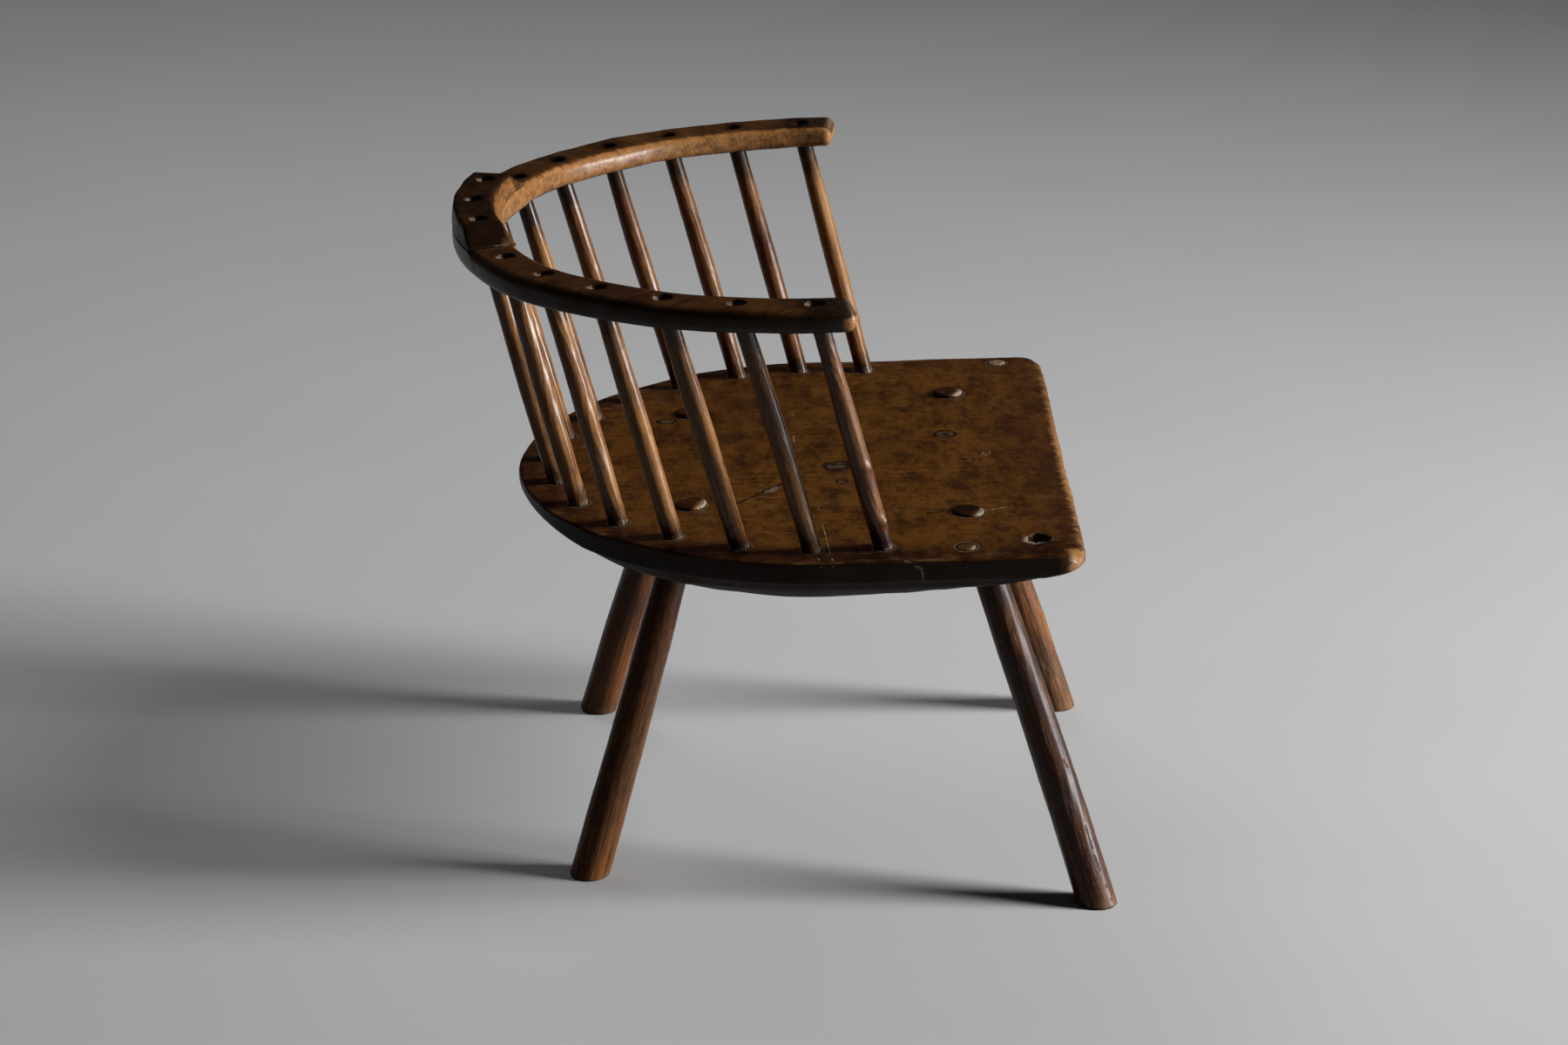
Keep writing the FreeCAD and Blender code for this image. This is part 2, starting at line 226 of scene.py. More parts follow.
def skin(name, rings, slot, **fields):
    """A closed mesh over rings[row, column]; the first and last rows are single points.
    Fields have a number, or three, for each point and become attributes of the mesh."""
    rows, columns = rings.shape[:2]

    def flat(grid):
        return np.concatenate([grid[:1, 0], grid[1:-1].reshape(-1, *grid.shape[2:]), grid[-1:, 0]])

    points = flat(rings)
    index = 1 + np.arange((rows - 2) * columns).reshape(rows - 2, columns)
    beside = np.roll(index, -1, axis=1)
    quads = np.stack([index[:-1], beside[:-1], beside[1:], index[1:]], -1).reshape(-1, 4)
    low = np.stack([np.zeros(columns, int), beside[0], index[0]], -1)
    high = np.stack([np.full(columns, len(points) - 1), index[-1], beside[-1]], -1)
    triangles = np.concatenate([quads[:, [0, 1, 2]], quads[:, [0, 2, 3]], low, high])
    a, b, c = (points[triangles[:, i]] for i in range(3))
    volume = np.einsum("ij,ij->i", a, np.cross(b, c)).sum() / 6
    turn = -1 if volume < 0 else 1
    faces = [face for part in (quads, low, high) for face in part[:, ::turn].tolist()]
    mesh = bpy.data.meshes.new(name)
    mesh.from_pydata(points.tolist(), [], faces)
    mesh.polygons.foreach_set("use_smooth", np.ones(len(faces), bool))
    for field, grid in fields.items():
        kind, key = ("FLOAT_VECTOR", "vector") if grid.ndim == 3 else ("FLOAT", "value")
        attribute = mesh.attributes.new(field, kind, "POINT")
        attribute.data.foreach_set(key, flat(grid).astype(np.float32).ravel())
    piece = bpy.data.objects.new(name + "_dressed", mesh)
    scene.collection.objects.link(piece)
    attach(piece, "root")
    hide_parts(name)
    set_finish(piece, slot)
    print("%-16s %6d faces, %.0f cubic cm" % (name, len(faces), abs(volume) * 1e6))


# %% [markdown]
# ## The sticks
# Each stick was split from a straight billet and shaved round by eye: a little fatter in the middle, thinner
# at both ends, with long flats left by the shave and some bow. A lathe-like cylinder would be wrong. Here a
# circle is drawn in towards a polygon whose flats drift round the stick, and carried along a bowed line from
# the seat into the arm. The numbers that differ from stick to stick are drawn from the stick's own seed. How
# dark each one is was read from the picture, and stands in the order of the names.

# %% Stick lines
STICK_GAPS = 14
ARM_RISE = 219.5 * mm
CREST_RISE = 235 * mm
ARM_BACK = 12 * mm
ARM_RADIUS = 274 * mm
HEAD_RADIUS, HEAD_TURN = 272.5 * mm, 180
FOOT_RADIUS, FOOT_TURN, FOOT_DRIFT = 232 * mm, 200, 2.5
SIDES = dict(right=range(1, 7), back=range(1, 4), left=range(6, 0, -1))
STICK_NAMES = {side: ["stick_%s_%d" % (side, n) for n in order] for side, order in SIDES.items()}


def around_arms(radius, angle, height):
    """Seat frame point by its angle (radians) round the arms, from the back towards the sitter's right."""
    x = -radius * np.sin(angle)
    y = ARM_BACK + radius * np.cos(angle)
    return np.stack(np.broadcast_arrays(x, y, height), -1)


def stick_line(place):
    """Foot on the seat and head on top of the arms; feet and heads are spread evenly round two circles,
    but the feet drift a little, most at the back."""
    share = 0.5 - place / STICK_GAPS
    foot_angle = np.radians(FOOT_TURN * share - FOOT_DRIFT * np.cos(np.radians(FOOT_TURN * share)) ** 2)
    foot = FOOT_RADIUS * np.array([-np.sin(foot_angle), np.cos(foot_angle), 0])
    return foot, around_arms(HEAD_RADIUS, np.radians(HEAD_TURN * share), ARM_RISE)


stick_lines = {name: stick_line(place) for place, name in enumerate(sum(STICK_NAMES.values(), []))}
print("sticks:", len(stick_lines))

# %% Shaft
SHAFT_ROWS, END_ROWS = 130, 6
LUMP_SPREAD = 6 * mm
KNOT_SPREAD = 8 * mm


def across(axis):
    """Two unit directions at right angles to the axis and to each other; the first is level."""
    first = unit(np.cross(axis, [0, 0, 1.0]))
    return first, np.cross(axis, first)


def spokes(axis, columns):
    """Angles all round an axis, and the direction away from it at each."""
    first, second = across(axis)
    turn = np.linspace(0, 2 * np.pi, columns, endpoint=False)[None, :]
    return turn, np.cos(turn)[..., None] * first + np.sin(turn)[..., None] * second


def shaved(turn, flats, sharp):
    """A circle of radius 1 drawn in towards a polygon of flats; sharp 0 is round, 1 is the polygon."""
    half = np.pi / flats
    polygon = np.cos(half) / np.cos(np.mod(turn, 2 * half) - half)
    return 1 + sharp * (polygon - 1)


def rounded_end(distance, size):
    """How much a radius shrinks at a distance from a rounded end: a quarter circle of that size."""
    near = np.clip(1 - distance / size, 0, 1)
    return size * (1 - np.sqrt(1 - near ** 2))


def shaft(start, axis, low, high, radius, seed, flats, bow, ends, columns, rows=SHAFT_ROWS, knots=()):
    """Rings round a line: each ring lies between two lengths along the axis, which may differ round the
    shaft where an end is cut at a slant. Radius is a function of the share of the length. A knot is a small
    bell-shaped swelling, given by its length along the axis, its direction, its rise and its size."""
    draw = np.random.default_rng(seed)
    first, second = across(axis)
    turn, spoke = spokes(axis, columns)
    near_ends = np.arange(END_ROWS) / END_ROWS
    length = float(np.mean(high - low))
    edge = max(ends) / length
    share = np.concatenate([near_ends * edge, np.linspace(edge, 1 - edge, rows), 1 - near_ends[::-1] * edge])
    share = share[:, None]
    along = low + share * (high - low)
    round_it = LUMP_SPREAD * np.cos(turn), LUMP_SPREAD * np.sin(turn)
    lumps = uneven(seed + 1, (0.03, 0.12), along, *round_it)
    drift = turn + draw.uniform(-3, 3) * share + 0.25 * uneven(seed + 2, (0.05, 0.2), along)
    size = radius(share) * shaved(drift, flats, draw.uniform(0.55, 0.95)) * (1 + 0.014 * lumps)
    size = size - rounded_end(share * length, ends[0]) - rounded_end((1 - share) * length, ends[1])
    heading = draw.uniform(0, 2 * np.pi)
    sway = bow * (np.sin(np.pi * share) + 0.35 * np.sin(2 * np.pi * share + heading))
    line = start + along[..., None] * axis
    line = line + sway[..., None] * (np.cos(heading) * first + np.sin(heading) * second)
    for place, way, rise, width in knots:
        round_gap = KNOT_SPREAD * np.arccos(np.clip(spoke @ way, -1, 1))
        size = size + rise * np.exp(-((along - place) ** 2 + round_gap ** 2) / width ** 2)
    return with_caps(line + size[..., None] * spoke)


def shaft_grain(points, start, axis, seed):
    """Where a point is in the billet: across, across and along the grain, with the heart off to one side."""
    draw = np.random.default_rng(seed + 3)
    x, y, z = ((points - start) @ way for way in (*across(axis), axis))
    away = draw.uniform(0.03, 0.07)
    heading = draw.uniform(0, 2 * np.pi)
    slope = draw.uniform(-0.03, 0.03)
    x, y = x + away * np.cos(heading) + slope * z, y + away * np.sin(heading)
    return np.stack([x, y, z + draw.uniform(0, 9)], -1)


# %% Sticks
STICK_TENON = 10 * mm
HEAD_RECESS = 4 * mm
STICK_ENDS, STICK_COLUMNS = (1 * mm, 1 * mm), 44
STICK_RADII = np.array([7.75, 8.55, 7.35]) * mm
STICK_TONES = dict(right=(0.8, 0.5, 0.25, 0.05, 0.05, 0.15), back=(0.3, 0.35, 0.35),
                   left=(0.6, 0.7, 0.75, 0.65, 0.75, 0.0))
STICK_RUB = dict(stick_left_1=0.4, stick_right_6=0.15, stick_right_3=0.12)
KNOT_WAY = np.array([-0.6, -0.8, 0.0])
STICK_KNOTS = dict(stick_right_1=[(26 * mm, KNOT_WAY, 2.0 * mm, 4.0 * mm),
                                  (78 * mm, KNOT_WAY, 1.1 * mm, 4.5 * mm)])


def stick_radius(seed):
    """A radius along the stick: a foot, a belly and a head joined by a smooth hump, a little different each."""
    draw = np.random.default_rng(seed + 4)
    foot, belly, head = STICK_RADII + draw.uniform(-0.25, 0.25, 3) * mm
    place = draw.uniform(0.36, 0.56)

    def radius(share):
        rise = foot + (belly - foot) * ease(share, 0.02, place)
        return np.where(share < place, rise, belly + (head - belly) * ease(share, place, 0.98))
    return radius


tones = sum(STICK_TONES.values(), ())
for number, (name, (foot, head)) in enumerate(stick_lines.items()):
    seed = SEEDS["stick"] + SEED_STEP * number
    knots = STICK_KNOTS.get(name, ())
    axis = unit(head - foot)
    top = CREST_RISE if "back" in name else ARM_RISE
    bow = np.random.default_rng(seed + 5).uniform(-1.6, 1.6) * mm
    rings = shaft(foot, axis, -STICK_TENON, (top - HEAD_RECESS) / axis[2], stick_radius(seed), seed,
                  flats=10 + number % 4, bow=bow, ends=STICK_ENDS, columns=STICK_COLUMNS, knots=knots)
    height = rings[..., 2]
    drift = 0.3 * uneven(seed + 6, (0.05, 0.2), height, waves=4)
    knotty = np.zeros_like(height)
    for place, _, _, width in knots:
        knotty += np.exp(-((height - place) / (0.8 * width)) ** 2)
    rubbed = np.clip(0.12 + STICK_RUB.get(name, 0.0) + 0.2 * drift, 0, 0.6)
    # Darker at both ends: dirt, and painted shade at the seat and under the arm. The pale ring at the foot is wax
    # and a painted glint, and the knots are paler.
    skin(name, lean_back(rings), "stick_wood", grain=shaft_grain(rings, foot, axis, seed),
         wear=rubbed * ease(height, 0.02, 0.08) * ease(height, 0.21, 0.15),
         grime=np.maximum(0.8 * ease(height, 0.034, 0.0), 0.85 * ease(height, 0.155, ARM_RISE - 0.024)),
         wax=0.45 * ease(height, 0.009, 0.001) + 0.3 * knotty, tone=np.clip(tones[number] + drift, 0, 1))

# %% [markdown]
# ## The legs
# The legs are shaved too, thick at the floor and thinner at the seat, where they go right through and stand a
# little proud, worn smooth by sitters. Their feet are cut level with the floor and the tenons level with the
# seat, both at a slant to the leg. So a ring's two limits along the leg change round it: they are where each
# line of the leg meets the floor and the plane above the seat.

# %% Legs
LEG_FOOT, LEG_HEAD = 16.4 * mm, 12.4 * mm
LEG_ENDS, LEG_COLUMNS = (2.2 * mm, 1.6 * mm), 52
LEG_PROUD = 3 * mm
LEG_HEADS = dict(leg_front_right=(-155, -112.5), leg_front_left=(155, -112.5),
                 leg_rear_right=(-119, 115), leg_rear_left=(119, 115))
LEG_FEET = dict(leg_front_right=(-214.5, -231), leg_front_left=(214.5, -231),
                leg_rear_right=(-180.5, 191), leg_rear_left=(180.5, 191))
LEG_TONES = dict(leg_front_right=1.2, leg_front_left=0.3, leg_rear_right=0.1, leg_rear_left=0.4)
# How much darker each leg is painted above its foot: painted shade, for the legs that stand away from the lamp.
LEG_SOOT = dict(leg_front_right=0.42, leg_front_left=0.0, leg_rear_right=0.3, leg_rear_left=0.15)
# Towards the front lamp: the side of a tenon or plug that gets a painted highlight.
RIM_LIT = np.array([-0.35, -0.94, 0.0])
SEAT_UP = lean_back([0, 0, 1]) - lean_back([0, 0, 0])


def on_level(spot):
    """A place given by two numbers in millimetres, at height 0."""
    return np.append(np.array(spot) * mm, 0)


def leg_radius(share):
    """A straight taper with a faint swelling at knee height."""
    return LEG_FOOT + (LEG_HEAD - LEG_FOOT) * share + 0.5 * mm * np.sin(np.pi * share)


for number, name in enumerate(LEG_HEADS):
    seed = SEEDS["leg"] + SEED_STEP * number
    head = lean_back(on_level(LEG_HEADS[name]))
    foot = on_level(LEG_FEET[name]) + np.array([0, SEAT_SHIFT, 0])
    axis = unit(head - foot)
    _, spoke = spokes(axis, LEG_COLUMNS)
    low = -(LEG_FOOT - LEG_ENDS[0]) * spoke[..., 2] / axis[2]
    reach = (head - foot) @ SEAT_UP + LEG_PROUD
    high = (reach - LEG_HEAD * (spoke @ SEAT_UP)) / (axis @ SEAT_UP)
    bow = np.random.default_rng(seed + 5).uniform(0.8, 1.8) * mm
    rings = shaft(foot, axis, low, high, leg_radius, seed, flats=13 + number, bow=bow, ends=LEG_ENDS,
                  columns=LEG_COLUMNS)
    rings[..., 2] = np.maximum(rings[..., 2], 0)
    height = rings[..., 2]
    top = ease((rings - foot) @ SEAT_UP, reach - 2.6 * mm, reach - 1.6 * mm)
    off_centre = (rings - head) @ RIM_LIT / LEG_HEAD
    drift = 0.25 * uneven(seed + 6, (0.06, 0.25), height, waves=4)
    kicked = 0.3 * ease(height, 0.016, 0.001) + 0.2 * ease(height, 0.1, 0.01)
    rubbed = np.clip(0.3 + drift - LEG_TONES[name], 0, 0.4) * ease(height, 0.22, 0.14)
    # Painted shade: each leg darker above its foot by its own amount, and all darker up to the seat's underside.
    sooty = np.maximum(LEG_SOOT[name] * ease(height, 0.01, 0.09), 0.85 * ease(height, 0.2, 0.285))
    # Tenon tops are dark, but lighter on the side towards the lamp, with a pale crescent there: a painted
    # highlight in the wax mask.
    skin(name, rings, "leg_wood", grain=shaft_grain(rings, foot, axis, seed), wear=kicked + rubbed,
         grime=np.maximum(sooty, 0.8 * top) * (1 - top * ease(off_centre, 0.3, 0.75)),
         wax=top * ease(off_centre, 0.42, 0.85), tone=np.clip(LEG_TONES[name] + drift, 0, 1))

# %% [markdown]
# ## The seat plank
# The plank is straight at the front and round at the back. Its top edge is eased, more at the front where
# knees rub, and its underside is thinned to front and back in one wide sweep, with a bevel round the sides.
# The rings here are outlines: they start as a point in the middle of the top, grow out to the rim, go over
# the edge and down the side, and shrink again underneath.

# %% Seat outline
SEAT_RADIUS = 260 * mm
SEAT_FRONT = 202 * mm
CORNER = 24 * mm
EMPTY_MORTISE = np.array([-218, -165]) * mm
MORTISE_TO_RIM = 1.17
BACK_POINTS, SIDE_POINTS, CORNER_POINTS, FRONT_POINTS = 800, 400, 120, 900
DENSE = 20000


def seat_outline():
    """The D as closely spaced points and outward directions, from the back round by the sitter's right and to
    the back again."""
    def arc(centre, radius, start, end, count):
        angle = np.radians(np.linspace(start, end, count, endpoint=False))
        away = np.stack([np.cos(angle), np.sin(angle)], -1)
        return np.array(centre) + radius * away, away

    def run(start, end, away, count):
        share = np.linspace(0, 1, count, endpoint=False)[:, None]
        return np.array(start) * (1 - share) + np.array(end) * share, np.tile(away, (count, 1))

    side, front = SEAT_RADIUS, SEAT_FRONT - CORNER
    parts = [arc((0, 0), side, 90, 180, BACK_POINTS), run((-side, 0), (-side, -front), (-1.0, 0.0), SIDE_POINTS),
             arc((-side + CORNER, -front), CORNER, 180, 270, CORNER_POINTS),
             run((-side + CORNER, -SEAT_FRONT), (side - CORNER, -SEAT_FRONT), (0.0, -1.0), FRONT_POINTS),
             arc((side - CORNER, -front), CORNER, 270, 360, CORNER_POINTS),
             run((side, -front), (side, 0), (1.0, 0.0), SIDE_POINTS), arc((0, 0), side, 0, 90, BACK_POINTS)]
    return tuple(np.concatenate([*runs, runs[0][:1]]) for runs in zip(*parts))


def run_lengths(line):
    """The length along a line of points, from the first to each."""
    return np.concatenate([[0], np.cumsum(np.linalg.norm(np.diff(line, axis=0), axis=1))])


def read_off(line, lengths, stations):
    """The points of a line at stations along it."""
    return np.stack([np.interp(stations, lengths, column) for column in line.T], -1)


def spaced(length, where, coarse, fine, reach):
    """Stations along a run: coarse steps, and fine ones within reach of the places named."""
    dense = np.linspace(0, length, DENSE)
    near = np.min([np.abs(dense - place) for place in where], axis=0) < reach
    count = np.concatenate([[0], np.cumsum(np.diff(dense) / np.where(near, fine, coarse)[1:])])
    return np.interp(np.arange(int(count[-1])), count, dense)


outline, outward = seat_outline()
lengths = run_lengths(outline)
corner_place = lengths[np.argmin(np.linalg.norm(outline - EMPTY_MORTISE * MORTISE_TO_RIM, axis=1))]
stations = spaced(lengths[-1], [corner_place], coarse=4.4 * mm, fine=0.9 * mm, reach=46 * mm)
rim, rim_out = read_off(outline, lengths, stations), read_off(outward, lengths, stations)
print("outline %.0f mm, %d stations" % (lengths[-1] / mm, len(stations)))

# %% Seat rings
SEAT_THICK = 35 * mm
UNDER_BEVEL_TOP = -20 * mm
UNDER_EASE = 3 * mm
SWEEP_RADIUS = 1163 * mm
SWEEP_CENTRE = 18 * mm
RIM_BAND = 20 * mm


def seat_under(y):
    """The underside: a wide circle across the plank, lowest a little behind the middle."""
    return SWEEP_RADIUS - SEAT_THICK - np.sqrt(SWEEP_RADIUS ** 2 - (y - SWEEP_CENTRE) ** 2)


def bell(x, y, centre, size):
    """A soft spot, 1 at its centre and falling as a bell curve of a size along each axis, in millimetres."""
    return np.exp(-((x / mm - centre[0]) / size[0]) ** 2 - ((y / mm - centre[1]) / size[1]) ** 2)


wobble = uneven(SEEDS["rim"], (0.06, 0.3), *rim.T)
front_rub = ease(rim[:, 1], -0.185, -0.2)
rim_line = rim + rim_out * (0.5 * mm * wobble - 0.8 * mm * front_rub)[:, None]
corner_rub = bell(*rim_line.T, (-252, -194), (20, 20))
nibble = uneven(SEEDS["nibble"], (0.008, 0.03), *rim.T)
top_ease = (2.3 + 3.6 * front_rub + 5.0 * corner_rub) * mm * (1 + 0.12 * wobble + 0.2 * front_rub * nibble)


def inset_ring(inset):
    """The outline drawn in by an inset, which may differ from station to station."""
    return rim_line - rim_out * np.broadcast_to(inset, len(rim_line))[:, None]


def ring(inset, height, share=0.0):
    """The outline drawn in by an inset, then by a share of the way to the middle, at a height."""
    spot = inset_ring(inset) * (1 - share)
    return np.column_stack([spot, np.broadcast_to(height, len(spot))])


shares = np.concatenate([np.linspace(1, 0.125, 50, endpoint=False),
                         np.linspace(0.125, 0.03, 42, endpoint=False), np.linspace(0.03, 0, 5)])
seat_rings = [ring(RIM_BAND, 0, share) for share in shares]
seat_rings += [ring(RIM_BAND + (top_ease - RIM_BAND) * step, 0) for step in (0.3, 0.6, 0.85)]
top_rows = len(seat_rings)
for bend in np.radians(np.linspace(0, 90, 9)):
    seat_rings.append(ring(top_ease * (1 - np.sin(bend)), -top_ease * (1 - np.cos(bend))))
bottom = np.maximum(UNDER_BEVEL_TOP, seat_under(rim_line[:, 1]))
for step in (0.25, 0.5, 0.75):
    seat_rings.append(ring(0, -top_ease + (bottom + UNDER_EASE + top_ease) * step))
for bend in np.radians(np.linspace(0, 90, 6)):
    seat_rings.append(ring(UNDER_EASE * (1 - np.cos(bend)), bottom + UNDER_EASE * (1 - np.sin(bend))))
for inset in np.linspace(5, 20, 7) * mm:
    under = np.maximum(seat_under(inset_ring(inset)[:, 1]), np.minimum(UNDER_BEVEL_TOP - inset, bottom))
    seat_rings.append(ring(inset, under))
for share in np.linspace(0, 1, 30)[1:]:
    seat_rings.append(ring(RIM_BAND, seat_under(inset_ring(RIM_BAND)[:, 1] * (1 - share)), share))
seat_rings = np.array(seat_rings)
print("seat rings", seat_rings.shape)

# %% Seat surface
POCKET_RADIUS, POCKET_DEPTH = 8.6 * mm, 13 * mm
x, y, z = np.moveaxis(seat_rings, -1, 0)
on_top = (np.arange(len(seat_rings)) < top_rows)[:, None]
edge_gap = np.minimum(np.minimum(SEAT_RADIUS - np.where(y > 0, np.hypot(x, y), np.abs(x)), SEAT_FRONT + y), 0.2)
dish = 1.6 * mm * np.exp(-np.maximum(edge_gap, 0) / (16 * mm))
skimmed = 0.28 * mm * uneven(SEEDS["skim"], (0.03, 0.09), x, 0.4 * y)
scooped = 0.5 * mm * uneven(SEEDS["scoop"], (0.12, 0.3), x, y)
upper = ease(z, -12 * mm, -1 * mm)
z = z + upper * (skimmed + scooped - dish + 0.3 * mm)
z = z + (1 - upper) * 0.35 * mm * uneven(SEEDS["under"], (0.02, 0.12), x, y, z)
gap = np.hypot(x - EMPTY_MORTISE[0], y - EMPTY_MORTISE[1])
angle = np.arctan2(y - EMPTY_MORTISE[1], x - EMPTY_MORTISE[0])
ragged = POCKET_RADIUS * (1 + 0.07 * np.sin(3 * angle + 1) + 0.04 * np.sin(7 * angle))
splinters = 0.6 + 0.4 * np.sin(23 * angle + 6 * np.sin(5 * angle))
torn = on_top * ease(gap, ragged * 2.1, ragged) * ease(np.cos(angle - 2.2), 0.2, 0.9)
hairs = on_top * ease(gap, ragged * 2.6, ragged) * ease(np.cos(angle + 2.4), 0.1, 0.8) * splinters
pocket = on_top * ease(gap, ragged + 1.2 * mm, ragged - 0.7 * mm)
z = z - POCKET_DEPTH * pocket - (1.0 * torn + 0.5 * hairs) * mm * splinters * (1 - pocket)
print("seat from %.1f to %.1f mm" % (z.min() / mm, z.max() / mm))

# %% Seat wear
SEAT_HEART = -75 * mm
front_edge = ease(y, -0.189, -0.1985) * ease(z, -12 * mm, -5 * mm)
front_edge = front_edge * (0.5 + 0.5 * np.exp(-((x + 0.04) / 0.11) ** 2))
near_corner = bell(x, y, (-254, -198), (12, 12))
# A thin paler line on the top edge: edge wear and a painted highlight.
arris = ease(z, -0.2 * mm, -1.2 * mm) * ease(z, -2.6 * mm, -1.6 * mm) * ease(y, -0.17, -0.1)
# The plank's side face is darker: dark patina and painted shade.
side = ease(z, -1.6 * mm, -3.4 * mm) * (1 - ease(y, -0.193, -0.2))
rim_dark = 0.4 * ease(edge_gap, 45 * mm, 12 * mm) * ease(y, -0.12, -0.02)
near_band = 0.5 * ease(x, -0.212, -0.252) * ease(y, 0.02, -0.03)
corner_dark = 0.42 * bell(x, y, (-222, -175), (36, 36))
sat_on = on_top * 0.2 * bell(x, y, (-80, 30), (90, 70))
# Grime: dark patina near the rim and corner, painted shade on the side face, and the empty mortise painted dark
# as shade in a hole.
stained = np.maximum(side, rim_dark + near_band + corner_dark) + pocket + 0.5 * hairs
red_patches = np.maximum(bell(x, y, (20, -165), (120, 35)), 0.7 * bell(x, y, (120, 80), (80, 60)))
skin("seat_plank", lean_back(np.stack([x, y, z], -1)), "seat_wood",
     grain=np.stack([x + 12 * mm, z + SEAT_HEART, y], -1),
     wear=np.clip(0.9 * front_edge + 1.2 * near_corner + 0.35 * arris + sat_on, 0, 1),
     grime=np.clip(stained, 0, 1) * (1 - 0.7 * near_corner) * (1 - 0.5 * front_edge),
     wax=np.clip(torn + 0.7 * hairs * splinters - pocket, 0, 1),
     tone=0.1 + 0.65 * np.maximum(ease(edge_gap, 60 * mm, 5 * mm), 0.8 * red_patches))

# %% [markdown]
# ## The two plugs
# Two mortises near the front corners were bored and not used, and were stopped with whittled plugs. A plug is
# a short shaft whose top is crowned a little by wear. Its end grain shows, paler than the seat. Its axis leans
# by a hair, because an upright one has no level direction of its own to measure round from.

# %% Plugs
PLUGS = dict(seat_plug_right=(-234, -106), seat_plug_left=(239, -161))
PLUG_RADIUS, PLUG_DEPTH, PLUG_PROUD = 8.1 * mm, 12 * mm, 0.1 * mm
PLUG_AXIS = unit(np.array([0.0, 0.001, 1.0]))


def plug_radius(share):
    """The same all along."""
    return np.full_like(share, PLUG_RADIUS)


for number, (name, spot) in enumerate(PLUGS.items()):
    seed = SEEDS["plug"] + SEED_STEP * number
    foot = on_level(spot)
    rings = shaft(foot, PLUG_AXIS, -PLUG_DEPTH, PLUG_PROUD, plug_radius, seed, flats=9, bow=0,
                  ends=(0.5 * mm, 0.9 * mm), columns=48, rows=20)
    crown = 0.5 * mm * ease(np.hypot(rings[..., 0] - foot[0], rings[..., 1] - foot[1]), 8 * mm, 2 * mm)
    rings[..., 2] += np.where(rings[..., 2] > -1.5 * mm, crown, 0)
    top = ease(rings[..., 2], -1 * mm, 0.1 * mm)
    # A pale crescent on the side towards the lamp: a painted highlight, put in the wax mask.
    crescent = ease((rings - foot) @ RIM_LIT, 3.2 * mm, 5.6 * mm)
    skin(name, lean_back(rings), "plug_wood", grain=shaft_grain(rings, foot, PLUG_AXIS, seed),
         wear=(0.1 + 0.6 * number) * top, grime=0.8 * ease(rings[..., 2], -0.1 * mm, -1.2 * mm),
         wax=top * np.maximum(crescent, 0.5 * number), tone=np.full(rings.shape[:2], 0.2))

# %% [markdown]
# ## The arms
# The arms are two quarter rounds sawn out of thick boards, so their grain runs straight while the arm curves.
# They meet end to end at the back, under the crest. Their section is a rectangle with well rounded edges, and
# it is carried along the curve and drawn in at the front end. The stick heads stop short of the top, so the
# skin sinks into a small pocket at each. The grid is finer where the pockets are.

# %% Arm section
ARM_WIDTH, ARM_ROUND = 41 * mm, 7.5 * mm
HOLE, HOLE_DEPTH = 7.7 * mm, 7 * mm
HOLE_GRID = dict(fine=0.55 * mm, reach=10.5 * mm)
ROUND_POINTS = 12


def rounded_outline(corners, rounds, where, coarse, fine, reach):
    """A polygon with rounded corners as stations (across, up), fine near the named places on its run.
    Each corner's quarter is a curve from one tangent point to the other, bent towards the corner."""
    corners = np.array(corners, float)
    runs = []
    share = np.linspace(0, 1, ROUND_POINTS)[:, None]
    for i, (corner, size) in enumerate(zip(corners, rounds)):
        enter = corner + size * unit(corners[i - 1] - corner)
        leave = corner + size * unit(corners[(i + 1) % len(corners)] - corner)
        runs.append(enter * (1 - share) ** 2 + 2 * corner * share * (1 - share) + leave * share ** 2)
    line = np.concatenate([*runs, runs[0][:1]])
    lengths = run_lengths(line)
    dense = np.linspace(0, lengths[-1], DENSE)
    points = read_off(line, lengths, dense)
    places = [dense[np.argmin(np.hypot(*(points - spot).T))] for spot in where]
    return read_off(line, lengths, spaced(lengths[-1], places, coarse, fine, reach))


def stick_spot(name, height):
    """Where a stick's own line passes a height above the seat: its angle round the arms, its distance across
    them, the point and the stick's direction."""
    foot, head = stick_lines[name]
    axis = unit(head - foot)
    spot = foot + axis * height / axis[2]
    x, y = spot[0], spot[1] - ARM_BACK
    return np.arctan2(-x, y), np.hypot(x, y) - ARM_RADIUS, spot, axis


def sink_heads(points, wide, angle, on_top, names, height, sign=1):
    """Pushes the top down into a pocket round each stick head, along the stick's own line, with an eased rim.
    Returns the points, the share of each point that is in a pocket, how much of it is the pocket's back wall,
    which faces the lamp and gets a painted highlight, and its distance from the nearest pocket."""
    pockets, walls, nearest = (np.full(points.shape[:2], start) for start in (0.0, 0.0, 1.0))
    for name in names:
        hole_angle, hole_across, spot, axis = stick_spot(name, height)
        behind = points[..., 1] - spot[1]
        along = (sign * angle - hole_angle) * ARM_RADIUS
        gap = np.hypot(wide - hole_across, along)
        edge = HOLE * (1 + 0.02 * np.sin(2 * np.arctan2(along, wide - hole_across) + 40 * axis[0]))
        pocket = on_top * ease(gap, edge + 0.5 * mm, edge - 0.4 * mm)
        # The back wall, towards the lamp, is marked for a painted highlight.
        wall = on_top * ease(gap, edge + 0.6 * mm, edge) * ease(gap, edge - 2.2 * mm, edge - 0.8 * mm)
        walls = np.maximum(walls, wall * ease(behind / np.maximum(gap, 1e-6), 0.1, 0.7))
        rim = on_top * 0.5 * mm * np.exp(-np.maximum(gap - edge, 0) / (1.6 * mm))
        depth = HOLE_DEPTH * pocket + rim * (1 - pocket)
        points = points - depth[..., None] * axis / axis[2]
        pockets, nearest = np.maximum(pockets, pocket), np.minimum(nearest, np.where(on_top, gap, 1.0))
    return points, pockets, walls, nearest


